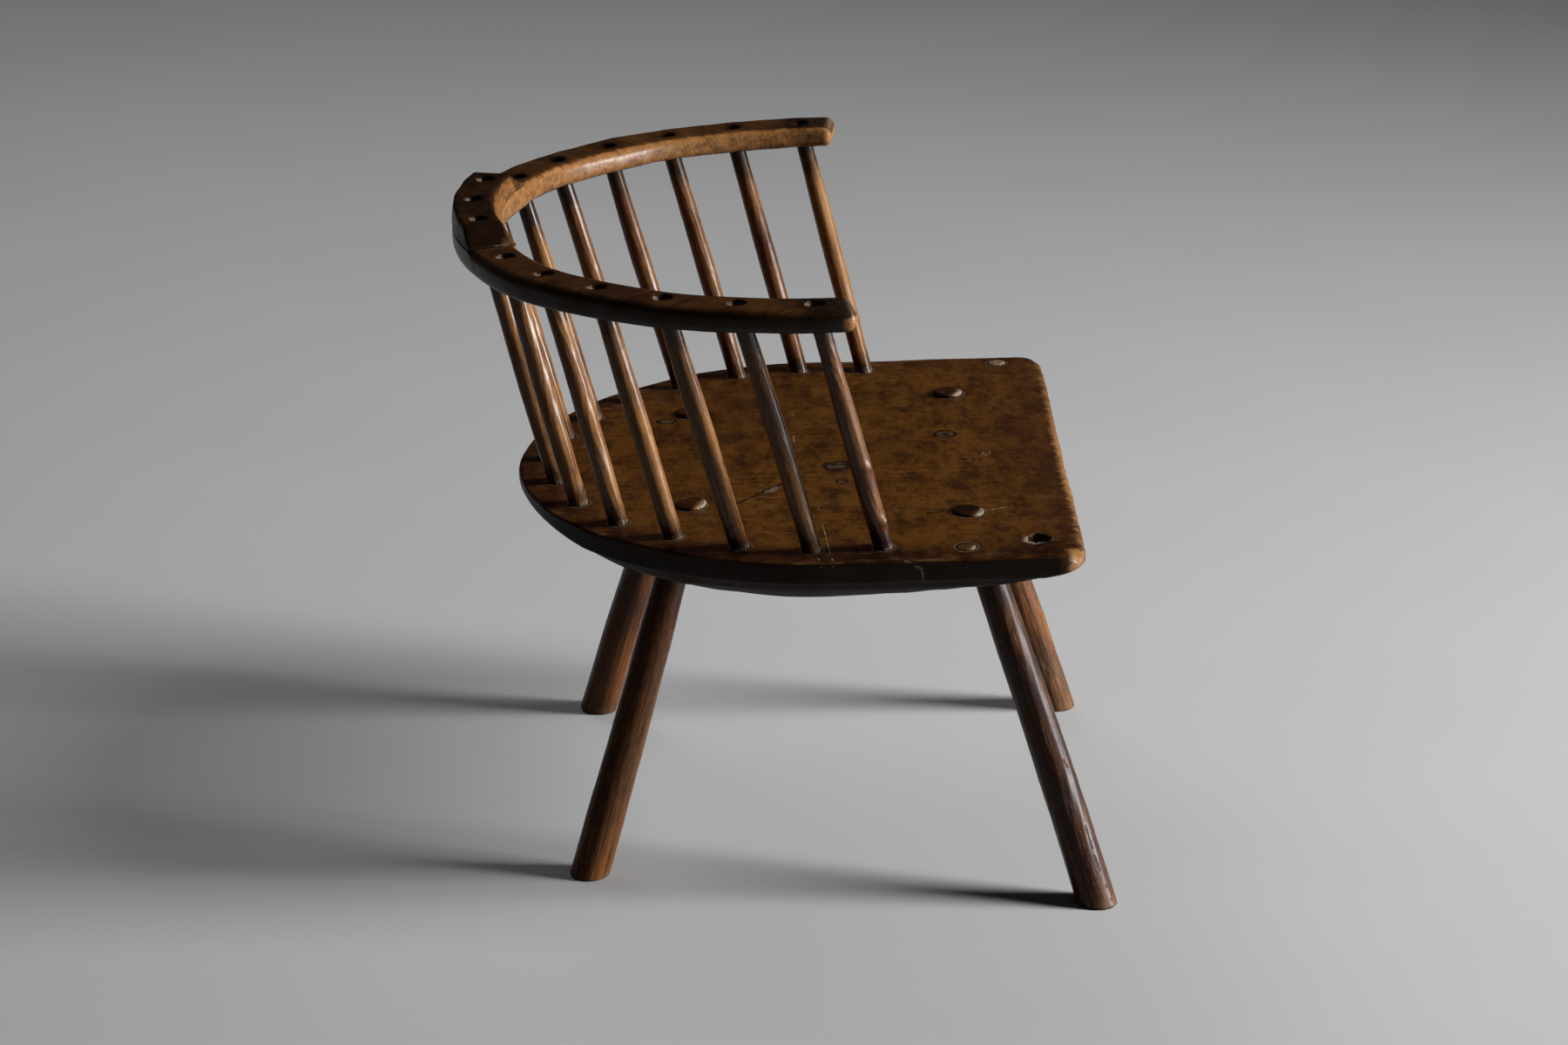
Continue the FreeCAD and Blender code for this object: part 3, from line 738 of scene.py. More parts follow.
# %% Arm rings
ARM_THICK = 20.5 * mm
ARM_END = np.radians(96.5)
ARM_HOLES = np.radians(HEAD_TURN / STICK_GAPS * np.arange(2, 8))
NOSE = 8 * mm
CREST_ANGLE = np.radians(20.7)
half = ARM_WIDTH / 2
arm_section = rounded_outline([(-half, -ARM_THICK), (half, -ARM_THICK), (half, 0), (-half, 0)], [8.2 * mm] * 4,
                              [(HEAD_RADIUS - ARM_RADIUS, 0)], coarse=1.8 * mm, **HOLE_GRID)
print("arm section:", len(arm_section), "stations")


def squared_top(section):
    """The same stations with the top edges left square, as under the crest: each point of a rounded top
    edge is pushed straight out from the rounding's centre to the square's side."""
    centre = np.stack([np.sign(section[:, 0]) * (half - ARM_ROUND), np.full(len(section), -ARM_ROUND)], -1)
    away = section - centre
    rounded = (np.abs(section[:, 0]) > half - ARM_ROUND) & (section[:, 1] > -ARM_ROUND)
    grow = 0.97 * ARM_ROUND / np.maximum(np.abs(away).max(1), 1e-6)
    return np.where(rounded[:, None], centre + away * grow[:, None], section)


def arm_rings(sign, seed):
    """The section carried round the arm, from the back (row 0) to the drawn-in front end.
    Returns the rings in the seat's frame, then for each point what sink_heads tells of the pockets, the angle
    round the arms, and the place across and up in the section."""
    nose_start = ARM_END - NOSE / ARM_RADIUS
    run = spaced(nose_start * ARM_RADIUS, ARM_RADIUS * ARM_HOLES, coarse=2.4 * mm, **HOLE_GRID)
    bends = np.radians(np.linspace(8, 90, 10))
    angle = np.concatenate([run / ARM_RADIUS, [nose_start], nose_start + NOSE * np.sin(bends) / ARM_RADIUS])
    inset = np.concatenate([np.zeros(len(run) + 1), NOSE * (1 - np.cos(bends))])[:, None]
    angle = angle[:, None]
    lapped = ease(angle, CREST_ANGLE + 0.006, CREST_ANGLE - 0.006)[..., None]
    shape = lapped * squared_top(arm_section) + (1 - lapped) * arm_section
    thick = 1 + 0.07 * np.cos(angle * 1.5) * ease(angle, 0, 0.5)
    wide = shape[..., 0] * (1 - inset / half)
    tall = (shape[..., 1] + ARM_THICK / 2) * (1 - inset / (ARM_THICK / 2)) - ARM_THICK / 2
    on_top = (arm_section[:, 1] > -0.5 * mm)[None, :]
    tall = np.where(on_top, tall, tall * thick)
    free = ease(angle, CREST_ANGLE, CREST_ANGLE + 0.05)
    swing = 0.8 * mm * free * uneven(seed, (0.12, 0.4), angle * ARM_RADIUS)
    skim = 0.22 * mm * uneven(seed + 1, (0.02, 0.08), angle * ARM_RADIUS, wide, tall)
    wide = wide * (1 + 0.02 * free * uneven(seed + 2, (0.1, 0.3), angle * ARM_RADIUS))
    droop = 0.6 * mm * free * uneven(seed + 3, (0.15, 0.5), angle * ARM_RADIUS)
    rings = around_arms(ARM_RADIUS + wide + swing + skim, sign * angle, ARM_RISE + tall + droop + free * skim)
    names = STICK_NAMES["right" if sign > 0 else "left"]
    sunk = sink_heads(rings, wide + swing, angle, on_top, names, ARM_RISE, sign)
    return *sunk, np.broadcast_to(angle, wide.shape), wide, tall


# %% Arms
ARM_TONES = dict(arm_right=0.7, arm_left=0.3)
HOLE_SMUDGE = dict(arm_right=0.4, arm_left=0.75)
# How strong the painted highlight on each arm's lit hole walls is.
HOLE_WAX = dict(arm_right=1.0, arm_left=0.2)
HEART_BACK, HEART_UP = 0.2, 0.12
for number, (name, sign) in enumerate((("arm_right", 1), ("arm_left", -1))):
    rings, *grids = arm_rings(sign, SEEDS["arm"] + SEED_STEP * number)
    rings = with_caps(rings)
    pockets, walls, nearest, angle, wide, tall = map(over_caps, grids)
    x, y, z = np.moveaxis(rings, -1, 0)
    board = np.radians(45 * sign)
    grain = np.stack([x * np.sin(board) + y * np.cos(board) - HEART_BACK, z - HEART_UP,
                      x * np.cos(board) - y * np.sin(board)], -1)
    tip = ease(angle, ARM_END - 0.035, ARM_END - 0.008)
    ball = ease(angle, ARM_END - 0.055, ARM_END - 0.02) * ease(tall, -4 * mm, -9 * mm)
    top_side = ease(tall, -8 * mm, -2 * mm)
    joint_line = top_side * np.exp(-((angle - CREST_ANGLE - 0.004) / 0.003) ** 2)
    sooty_end = ease(angle, ARM_END - 0.2, ARM_END - 0.1) * (1 - tip)
    inner_face = ease(wide, -0.7 * half, -0.93 * half)
    top_edge = ease(np.abs(wide), 0.7 * half, 0.9 * half) * ease(tall, -9 * mm, -3 * mm)
    smudge = HOLE_SMUDGE[name] * np.exp(-(nearest / (17 * mm)) ** 2)
    # Darker underneath: painted shade under the arm.
    under = ease(tall, -13 * mm, -20 * mm)
    outer_face = ease(wide, 0.75 * half, half) * ease(tall, -3 * mm, -9 * mm)
    # Soot and stains, with painted shade in the holes and under the arm.
    sooty = np.clip(pockets + smudge + 0.8 * sooty_end + 0.8 * under + 0.15 * outer_face, 0, 1)
    # Caked wax at the end and joint, and painted highlights on the lit hole walls.
    caked = (0.22 * sooty_end + 0.5 * tip) * top_side + joint_line + HOLE_WAX[name] * walls
    skin(name, lean_back(rings), "arm_wood", grain=grain,
         wear=np.clip(1.1 * ball + 0.7 * inner_face + 0.12 * top_edge * (1 - sooty_end), 0, 1),
         grime=sooty * (1 - 0.75 * inner_face) * (1 - ball), wax=np.clip(caked, 0, 1),
         tone=np.clip(ARM_TONES[name] + 0.3 * outer_face, 0, 1))

# %% [markdown]
# ## The crest
# A shorter, thicker piece laps over both arms at the back and ties them together, and three sticks go through
# both. Its inner face leans back for the sitter, and its ends are swept down in an ogee to a thin toe. That
# sweep is the most skilled work on the chair. The section is carried round as the arms' is, and its height
# follows the sweep, a smooth step mixed with a hollow curve, from the toe to the full thickness.

# %% Crest
CREST_THICK = 15.5 * mm
INNER_SLOPE, OUTER_SLOPE = 6.5 * mm, 2 * mm
CREST_TOE = 2.6 * mm
CREST_SWEEP = 22 * mm
CREST_STEP = 1.6 * mm
CREST_HEART = 0.15
crest_section = rounded_outline(
    [(-half, 0), (half, 0), (half - OUTER_SLOPE, CREST_THICK), (-half + INNER_SLOPE, CREST_THICK)],
    [0.5 * mm, 0.5 * mm, 3 * mm, 3 * mm], [(stick_spot("stick_back_2", CREST_RISE)[1], CREST_THICK)],
    coarse=CREST_STEP, **HOLE_GRID)


def crest_rings(seed):
    """The crest's section carried from its right end to its left, with the ogee as its height. Returns the rings,
    the pockets and the painted highlight on their back walls, the place across and up, and the distance from the
    nearest end."""
    span = 2 * CREST_ANGLE * ARM_RADIUS
    places = [ARM_RADIUS * (CREST_ANGLE + stick_spot(name, CREST_RISE)[0]) for name in STICK_NAMES["back"]]
    run = np.append(spaced(span, places, coarse=CREST_STEP, **HOLE_GRID), span)[:, None]
    angle = run / ARM_RADIUS - CREST_ANGLE
    from_end = np.minimum(run, span - run)
    swept = np.clip(from_end / CREST_SWEEP, 0, 1)
    height = CREST_TOE + (CREST_THICK - CREST_TOE) * (0.45 * ease(swept, 0, 1) + 0.55 * swept ** 1.9)
    wide, tall = crest_section[None, :, 0], crest_section[None, :, 1]
    on_top = tall > CREST_THICK - 0.5 * mm
    cut = tall / CREST_THICK * (1 - height / CREST_THICK)
    outer = (wide + half) / (2 * half)
    wide = wide + cut * (OUTER_SLOPE * outer - INNER_SLOPE * (1 - outer))
    tall = tall * height / CREST_THICK
    free = ease(tall, 0.5 * mm, 5 * mm)
    skim = 0.25 * mm * free * uneven(seed, (0.02, 0.09), run, wide, tall)
    rings = around_arms(ARM_RADIUS + wide + skim, angle, ARM_RISE + tall + skim)
    rings, pockets, walls, _ = sink_heads(rings, wide, angle, on_top, STICK_NAMES["back"], CREST_RISE)
    return rings, pockets, walls, wide, tall, np.broadcast_to(from_end, pockets.shape)


rings, *grids = crest_rings(SEEDS["crest"])
rings = with_caps(rings)
pockets, walls, wide, tall, from_end = map(over_caps, grids)
x, y, z = np.moveaxis(rings, -1, 0)
inner_face = ease(wide, -0.6 * half, -0.78 * half) * ease(tall, 14.5 * mm, 12 * mm)
# The ogee's sweep is darker: painted shade, for a hollow that faces away from the lamp.
sweep = ease(from_end, CREST_SWEEP + 4 * mm, CREST_SWEEP - 4 * mm)
# The toe is paler and greyer towards the inner side: a painted sheen.
inner_toe = ease(from_end, 12 * mm, 2 * mm) * ease(wide, 0.4 * half, -0.9 * half)
seam = ease(tall, 1.8 * mm, 0.4 * mm)
# Soot, with painted shade in the holes and on the sweep.
sooty = np.clip(pockets + 0.75 * sweep * (1 - 0.5 * inner_toe) + 0.62, 0, 1)
skin("arm_crest", lean_back(rings), "arm_wood", grain=np.stack([y - CREST_HEART, z - HEART_UP, x], -1),
     wear=np.clip(0.5 * inner_face * (1 - sweep) + 0.3 * inner_toe, 0, 1),
     grime=sooty * (1 - inner_face) + 0.75 * seam, wax=np.maximum(0.38 * inner_toe, walls),
     tone=0.8 - 0.75 * inner_face)

# %% [markdown]
# ## The floor
# One big pale sheet, far wider than the picture. It is the stage and not part of the chair.

# %% Floor
FLOOR_HALF = 9.0
corners = [(x * FLOOR_HALF, y * FLOOR_HALF, 0) for x, y in ((-1, -1), (1, -1), (1, 1), (-1, 1))]
floor_mesh = bpy.data.meshes.new("studio_floor")
floor_mesh.from_pydata(corners, [], [(0, 1, 2, 3)])
floor = bpy.data.objects.new("studio_floor", floor_mesh)
scene.collection.objects.link(floor)
floor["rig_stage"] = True
print("floor", 2 * FLOOR_HALF, "m wide")

# %% [markdown]
# ## Nodes without tears
# A finish is a net of small nodes. Two classes keep its code short. A wire is a node's output: sums on it are
# written as on a number, and each adds a math node. A net adds all other nodes, and feeds their inputs with
# wires or with plain values.

# %% Node net


class Wire:
    """A node's output. Sums on it add math nodes, and a bar between two wires takes the larger one."""

    def __init__(self, net, socket):
        self.net, self.socket = net, socket

    def math(self, operation, *values):
        """Any sum by its name."""
        return self.net.add("Math", dict(enumerate(values)), operation=operation)[0]

    def __add__(self, other):
        return self.math("ADD", self, other)

    def __sub__(self, other):
        return self.math("SUBTRACT", self, other)

    def __rsub__(self, other):
        return self.math("SUBTRACT", other, self)

    def __mul__(self, other):
        return self.math("MULTIPLY", self, other)

    def __truediv__(self, other):
        return self.math("DIVIDE", self, other)

    def __pow__(self, other):
        return self.math("POWER", self, other)

    def __abs__(self):
        return self.math("ABSOLUTE", self)

    def __or__(self, other):
        return self.math("MAXIMUM", self, other)


class Net:
    """A node tree with short ways to add nodes."""

    def __init__(self, tree):
        self.tree = tree

    def feed(self, sockets, values):
        """Links sockets to wires, or sets them to plain values, by name or number."""
        for key, value in values.items():
            if isinstance(value, Wire):
                self.tree.links.new(value.socket, sockets[key])
            else:
                sockets[key].default_value = value

    def wires(self, node):
        """All outputs of a node, by name and by number."""
        return {key: Wire(self, socket) for number, socket in enumerate(node.outputs)
                for key in (number, socket.name)}

    def add(self, kind, values=None, **options):
        """A new node with its options set and its inputs fed; gives back its outputs."""
        node = self.tree.nodes.new("ShaderNode" + kind)
        for option, value in options.items():
            setattr(node, option, value)
        self.feed(node.inputs, values or {})
        return self.wires(node)

    def vector(self, operation, first, second=(0, 0, 0)):
        """One sum on vectors. A length, a distance and a dot product come out as numbers."""
        made = self.add("VectorMath", {0: first, 1: second}, operation=operation)
        return made["Value" if operation in ("LENGTH", "DISTANCE", "DOT_PRODUCT") else "Vector"]

    def layers(self, colour, *rows):
        """Colours laid over a colour in turn, each by its share from 0 to 1."""
        for share, tint in rows:
            colour = self.add("Mix", {0: share, 6: colour, 7: tint}, data_type="RGBA")[2]
        return colour

    def span(self, value, low, high):
        """A smooth step from 0 at low to 1 at high. Low may be above high."""
        return self.add("MapRange", {0: value, 1: low, 2: high}, interpolation_type="SMOOTHSTEP")[0]

    def clamp(self, value):
        """A value kept from 0 to 1."""
        return self.add("Clamp", {0: value})[0]

    def noise(self, place, scale, detail=2.0, roughness=0.5, stretch=None):
        """Soft noise from 0 to 1 at a place, whose axes may be stretched first."""
        place = place if stretch is None else self.vector("MULTIPLY", place, stretch)
        values = {"Vector": place, "Scale": scale, "Detail": detail, "Roughness": roughness}
        return self.add("TexNoise", values)[0]


def new_group(name, inputs, outputs):
    """An empty group with named sockets. An input's first value also says its kind, and an output named Colour
    is a colour. Returns the net, the wires that come in and the sockets that go out."""
    net = Net(bpy.data.node_groups.new(name, "ShaderNodeTree"))
    add_socket, nodes = net.tree.interface.new_socket, net.tree.nodes
    for title, value in inputs.items():
        size = len(value) if isinstance(value, tuple) else 1
        kind = {1: "NodeSocketFloat", 3: "NodeSocketVector", 4: "NodeSocketColor"}[size]
        add_socket(title, in_out="INPUT", socket_type=kind).default_value = value
    for title in outputs:
        kind = "NodeSocketColor" if title == "Colour" else "NodeSocketFloat"
        add_socket(title, in_out="OUTPUT", socket_type=kind)
    return net, net.wires(nodes.new("NodeGroupInput")), nodes.new("NodeGroupOutput").inputs


# %% [markdown]
# ## Grain
# Timber is made of rings round a heart that runs along the piece. Read in the piece's own grain attribute,
# whose third number runs along the fibres, a ring is a distance from that line, bent a little by noise. Noise
# that is squeezed along the fibres gives streaks and, finer still, pores. The group gives these as masks.

# %% Grain group
SPOT = (0.0, 0.0, 0.0)
FIGURE_MASKS = ("Rings", "Streaks", "Pores", "Mottle")
grain_net, given, out = new_group(
    "timber_figure", {"Grain": SPOT, "Ring Width": 4 * mm, "Bend": 10 * mm, "Cloud Step": 0.6}, FIGURE_MASKS)
net, fibres = grain_net, given["Grain"]
bent = (net.noise(fibres, 16.0, stretch=(1, 1, 0.2)) - 0.5) * given["Bend"]
from_heart = net.vector("LENGTH", net.vector("MULTIPLY", fibres, (1, 1, 0)))
count = (from_heart + bent) / given["Ring Width"]
cloud_steps = net.add("CombineXYZ", {0: 1.0, 1: 1.0, 2: given["Cloud Step"]})[0]
net.feed(out, {"Rings": count.math("FRACT", count) ** 2.5,
               "Streaks": net.noise(fibres, 330.0, 4.0, 0.6, stretch=(1, 1, 0.03)),
               "Pores": net.span(net.noise(fibres, 1500.0, stretch=(1, 1, 0.022)), 0.58, 0.72),
               "Mottle": net.noise(fibres, 34.0, 7.0, 0.76, stretch=cloud_steps)})
print("grain group:", len(net.tree.nodes), "nodes")

# %% [markdown]
# ## Age
# Long years of wax, smoke and hands darken wood in the grain, and rub it pale where it is touched. This group
# turns the grain's masks into a colour, a roughness, a height and a gloss. Wear, grime and caked wax come from
# the piece, and noise breaks their borders, because a clean border would look painted. The grime mask also
# carries painted shade under edges, in holes and on sides turned from the lamp. The wax mask also carries painted
# highlights on lit hole walls, tenons and stick feet.

# %% Age group
PIECE_MASKS = ("Wear", "Grime", "Wax", "Tone")
age_net, given, out = new_group(
    "old_waxed_wood",
    {"Grain": SPOT, **dict.fromkeys(FIGURE_MASKS + PIECE_MASKS, 0.0), "Polish": 0.2, "Figure": 1.0, "Clouds": 0.4,
     "Light": (0.2, 0.1, 0.03, 1.0), "Dark": (0.05, 0.02, 0.01, 1.0), "Red": (0.06, 0.02, 0.01, 1.0),
     "Bare": (0.3, 0.2, 0.1, 1.0), "Soot": (0.0075, 0.0032, 0.0017, 1.0), "Dust": (0.30, 0.24, 0.18, 1.0)},
    ("Colour", "Roughness", "Height", "Gloss"))
net, fibres, pores, dark = age_net, given["Grain"], given["Pores"], given["Dark"]
streaky = net.span(given["Streaks"], 0.3, 0.7)
patchy = net.span(given["Mottle"], 0.36, 0.66)
lines = given["Rings"] * 0.45 + streaky * 0.75
shade = (lines - 0.5) * given["Figure"] + 0.42 + (patchy - 0.5) * given["Clouds"]
reddened = (patchy * 0.55 + 0.6) * given["Tone"]
speck = net.span(net.noise(fibres, 420.0, 3.0, 0.7, stretch=(1, 1, 0.4)), 0.52, 0.72)
crumbled = net.noise(fibres, 95.0, 5.0, 0.65)
# Darker by grime: dirt, and painted shade where the pieces give it
dirt = net.span((crumbled - 0.5) * 1.3 + given["Grime"], 0.08, 0.95)
smear = net.noise(fibres, 150.0, 5.0, 0.65, stretch=(1, 1, 0.3))
rubbed = net.span((smear - 0.5) * 1.5 + given["Wear"], 0.2, 0.95)
# Paler by wax: caked wax, and painted highlights where the pieces give them
flakes = (net.noise(fibres, 600.0, 4.0, 0.7) - 0.5) * 2.2 * net.span(given["Wax"], 0.0, 0.25)
waxed = net.span(flakes + given["Wax"], 0.3, 0.9)
bare = net.layers(given["Bare"], (lines * 0.5, dark))
colour = net.layers(given["Light"], (net.clamp(shade), dark), (reddened, given["Red"]), (speck * 0.45, dark),
                    (pores * 0.5, given["Soot"]), (dirt * 0.9, given["Soot"]), (rubbed * 0.92, bare),
                    (waxed * 0.85, given["Dust"]))
net.feed(out, {"Colour": colour,
               "Roughness": streaky * 0.1 + 0.27 + patchy * 0.12 + waxed * 0.2 + dirt * 0.12,
               "Height": streaky * -0.35 - pores + crumbled * 0.5 - speck * 0.3,
               "Gloss": (patchy * 1.3 + 0.55) * (1 - pores * 0.75) * (1 - speck * 0.6) * given["Polish"]})
print("age group:", len(net.tree.nodes), "nodes")

# %% [markdown]
# ## The woods
# All the woods of the chair share the two groups, each with its own colours: the sticks golden to reddish, the
# legs browner, the arms nearly black on top, the seat honey and olive. The shader itself stays here in the
# material, with a thin coat for the wax. The seat's clouds lie across its grain, where the others' lie along it.

# %% Wood materials
WOODS = dict(
    stick_wood=dict(name="golden_stick", light=(0.36, 0.165, 0.050), dark=(0.110, 0.040, 0.012),
                    red=(0.070, 0.020, 0.007), bare=(0.45, 0.26, 0.12), ring_width=2.6 * mm, relief=0.3 * mm,
                    figure=0.9, clouds=0.5, polish=0.32),
    leg_wood=dict(name="brown_leg", light=(0.29, 0.108, 0.030), dark=(0.048, 0.016, 0.006),
                  red=(0.034, 0.0080, 0.004), bare=(0.30, 0.17, 0.08), ring_width=3.2 * mm, relief=0.4 * mm,
                  figure=1.0, clouds=0.5, polish=0.24, haze=0.38),
    arm_wood=dict(name="dark_arm", light=(0.14, 0.058, 0.014), dark=(0.040, 0.015, 0.005),
                  red=(0.018, 0.006, 0.0025), bare=(0.42, 0.195, 0.064), ring_width=3.4 * mm, relief=0.4 * mm,
                  figure=0.8, clouds=0.5, polish=0.25),
    seat_wood=dict(name="honey_seat", light=(0.130, 0.050, 0.0088), dark=(0.030, 0.0105, 0.003),
                   red=(0.046, 0.015, 0.0075), bare=(0.36, 0.18, 0.068), ring_width=5.5 * mm, relief=0.45 * mm,
                   figure=0.4, clouds=1.0, polish=0.1, cloud_step=1.7),
    plug_wood=dict(name="pale_plug", light=(0.12, 0.055, 0.016), dark=(0.04, 0.018, 0.007),
                   red=(0.05, 0.022, 0.010), bare=(0.30, 0.20, 0.10), ring_width=1.6 * mm, relief=0.4 * mm,
                   figure=0.8, clouds=0.4, polish=0.1))


def wood_material(name, light, dark, red, bare, ring_width, relief, figure, clouds, polish, haze=0.26,
                  cloud_step=0.6):
    """A waxed wood. Returns the material, its net, what the age group puts out, and the inputs of the bump and
    of the shader for more work."""
    material = bpy.data.materials.new(name)
    material.use_nodes = True
    net = Net(material.node_tree)
    shader = net.tree.nodes["Principled BSDF"].inputs
    fibres = net.add("Attribute", attribute_name="grain")["Vector"]
    timber = net.add("Group", node_tree=grain_net.tree,
                     values={"Grain": fibres, "Ring Width": ring_width, "Cloud Step": cloud_step})
    masks = {title: timber[title] for title in FIGURE_MASKS}
    masks.update({title: net.add("Attribute", attribute_name=title.lower())["Fac"] for title in PIECE_MASKS})
    colours = {"Light": (*light, 1), "Dark": (*dark, 1), "Red": (*red, 1), "Bare": (*bare, 1)}
    age = net.add("Group", node_tree=age_net.tree, values={"Grain": fibres, **masks, **colours, "Figure": figure,
                                                           "Clouds": clouds, "Polish": polish})
    normal = net.add("Bump", {"Height": age["Height"], "Strength": 0.6, "Distance": relief})["Normal"]
    net.feed(shader, {"Base Color": age["Colour"], "Roughness": age["Roughness"], "Coat Weight": age["Gloss"],
                      "Normal": normal, "Specular IOR Level": 0.1, "Coat Roughness": haze, "Coat IOR": 1.45})
    return material, net, age, normal.socket.node.inputs, shader


woods = {slot: wood_material(**wood) for slot, wood in WOODS.items()}
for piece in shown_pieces():
    if "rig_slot" in piece:
        piece.data.materials.append(woods[piece["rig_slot"]][0])
print("woods:", *(wood["name"] for wood in WOODS.values()))

# %% [markdown]
# ## Marks
# Much of what tells this chair from any other is its marks: knots, a torn place, scratches, a crack by a plug,
# and the dark gap round each stick and tenon. Round each one there is also a pale ring, wax and a painted glint,
# and a darker halo, dirt and painted shade. They are drawn by distance: from a point for a knot, from a circle
# for a gap, from a straight stretch for a scratch. Each kind is a group of its own.

# %% Mark groups
# Gap is a dark joint; Wax is a pale ring of wax and painted glint; Halo is darker round the foot, dirt and
# painted shade.
ring_net, given, out = new_group("ring_mark", {"Place": SPOT, "Centre": SPOT, "Radius": 10 * mm},
                                 ("Gap", "Wax", "Halo"))
net = ring_net
flat = net.vector("MULTIPLY", net.vector("SUBTRACT", given["Place"], given["Centre"]), (1, 1, 0))
beyond = net.vector("LENGTH", flat) - given["Radius"]
net.feed(out, {"Gap": net.span(abs(beyond), 1.1 * mm, 0.3 * mm),
               "Wax": net.span(abs(beyond - 1.7 * mm), 1.1 * mm, 0.2 * mm),
               "Halo": net.span(beyond, 10 * mm, 0.0)})

mark_net, given, out = new_group("straight_mark", {"Place": SPOT, "Start": SPOT, "End": SPOT, "Width": 1 * mm},
                                 ("Mask",))
net = mark_net
whole = net.vector("SUBTRACT", given["End"], given["Start"])
part = net.vector("SUBTRACT", given["Place"], given["Start"])
along = net.clamp(net.vector("DOT_PRODUCT", part, whole) / net.vector("DOT_PRODUCT", whole, whole))
on_line = net.add("VectorMath", {0: whole, "Scale": along}, operation="SCALE")["Vector"]
ragged_edge = (net.noise(given["Place"], 240.0, 3.0) - 0.5) * 2.2 * given["Width"]
from_line = (ragged_edge + net.vector("DISTANCE", part, on_line)) / given["Width"]
net.feed(out, {"Mask": net.span(from_line, 1.0, 0.25)})

knot_net, given, out = new_group("knot", {"Place": SPOT, "Centre": SPOT, "Size": 10 * mm},
                                 ("Core", "Rim", "Checks"))
net = knot_net
flat = net.vector("MULTIPLY", net.vector("SUBTRACT", given["Place"], given["Centre"]), (1, 0.9, 0))
bent = (net.noise(given["Place"], 130.0) - 0.5) * 0.9
from_core = net.vector("LENGTH", flat) / given["Size"] + bent
net.feed(out, {"Core": net.span(from_core, 1.0, 0.8), "Rim": net.span(abs(from_core - 0.95), 0.3, 0.05),
               "Checks": net.span(net.noise(given["Place"], 420.0, stretch=(1, 0.25, 1)), 0.5, 0.62)})


def marks(net, place, group, rows, names, where=1.0):
    """One group node for each row of inputs; returns the largest of each named output, kept to a mask."""
    made = [net.add("Group", {"Place": place, **row}, node_tree=group.tree) for row in rows]
    return [reduce(or_, (wires[name] for wires in made)) * where for name in names]


def straight_marks(net, place, rows, put=np.asarray):
    """One mask for rows of start, end and width in millimetres; put takes points from their frame to the room."""
    def spot(point):
        return tuple(put(np.array(point) * mm))
    rows = [{"Start": spot(start), "End": spot(end), "Width": width * mm} for start, end, width in rows]
    return marks(net, place, mark_net, rows, ("Mask",))[0]


# %% [markdown]
# ## Marks on the seat
# The rings and knots are kept to the top of the plank by the height that goes along in its grain attribute, or
# they would come out again underneath. The scratches are short stretches on the level seat, in millimetres,
# and a few run over the rim. Very fine scratches are noise drawn out long in three directions.

# %% Seat marks
SCRATCH, HALO, KNOT_HEART = (0.24, 0.15, 0.08, 1), (0.020, 0.009, 0.005, 1), (0.075, 0.056, 0.034, 1)
GAP, OLD_WAX = (0.007, 0.004, 0.003, 1), (0.26, 0.19, 0.125, 1)
FOOT_RING, TENON_RING = 8.0 * mm, 12.7 * mm
KNOTS = [((-30, -43), 11), ((-70, -46), 4.5), ((44, -138), 8), ((-22, -162), 3.5), ((102, 102), 7)]
DARK_MARKS = [((-114, 77, 0), (-90, 56, 0), 2.0), ((-90, 56, 0), (-72, 39, 0), 3.2),
              ((-242, -104, 0), (-262, -103, -13), 1.5), ((-152, -93, 1), (-156, -78, 1), 1.4),
              ((-147, -92, 1), (-145, -70, 0), 1.2), ((-22, -112, 0), (-22, -118, 0), 1.5)]
PALE_MARKS = [((-88, 50, 0), (-79, 43, 0), 3.4), ((-132, 10, 0), (-240, 3, 0), 0.9),
              ((-249, 13, 0), (-262, 10, -5), 1.0), ((-250, 2, 0), (-262, 1, -5), 1.3),
              ((-258, -56, -1), (-260, -69, -8), 1.5), ((-260, -69, -8), (-260, -71, -23), 1.5),
              ((-242, -106, -1), (-260, -105, -8), 1.1), ((135, 29, 0), (97, 24, 0), 1.1),
              ((49, 26, 1), (31, 26, 1), 1.0), ((-4, -134, 0), (-13, -132, 0), 1.0),
              ((-3, -137, 0), (-12, -135, 0), 1.0), ((-2, -140, 0), (-11, -138, 0), 1.0),
              ((-151, -129, 0), (-144, -144, 0), 1.6)]
_, net, age, bump, shader = woods["seat_wood"]
place = net.add("TexCoord")["Object"]
rise = net.add("SeparateXYZ", {0: net.add("Attribute", attribute_name="grain")["Vector"]})["Y"]
top_face = net.span(rise, SEAT_HEART - 10 * mm, SEAT_HEART - 4 * mm)
circles = [(foot, FOOT_RING) for foot, head in stick_lines.values()]
circles += [(on_level(spot), TENON_RING) for spot in LEG_HEADS.values()]
circles += [(on_level(spot), PLUG_RADIUS) for spot in PLUGS.values()]
circles = [{"Centre": tuple(lean_back(spot)), "Radius": radius} for spot, radius in circles]
gap, wax, halo = marks(net, place, ring_net, circles, ("Gap", "Wax", "Halo"), top_face)
knots = [{"Centre": tuple(on_level(spot)), "Size": size * mm} for spot, size in KNOTS]
core, knot_rim, checks = marks(net, place, knot_net, knots, ("Core", "Rim", "Checks"), top_face)
pale_marks = straight_marks(net, place, PALE_MARKS, lean_back)
gaps = gap | core * checks | knot_rim | straight_marks(net, place, DARK_MARKS, lean_back)
fine_scratches = []
for turn, strength in ((0.5, 1.0), (1.9, 0.8), (2.8, 0.8)):
    turned = net.add("Mapping", {"Vector": place, "Rotation": (0, 0, turn), "Scale": (1, 0.035, 1)})[0]
    scattered = net.span(net.noise(turned, 9.0, 3.0), 0.5, 0.65)
    fine_scratches.append(net.span(net.noise(turned, 700.0, 2.0, 0.4), 0.66, 0.74) * scattered * strength)
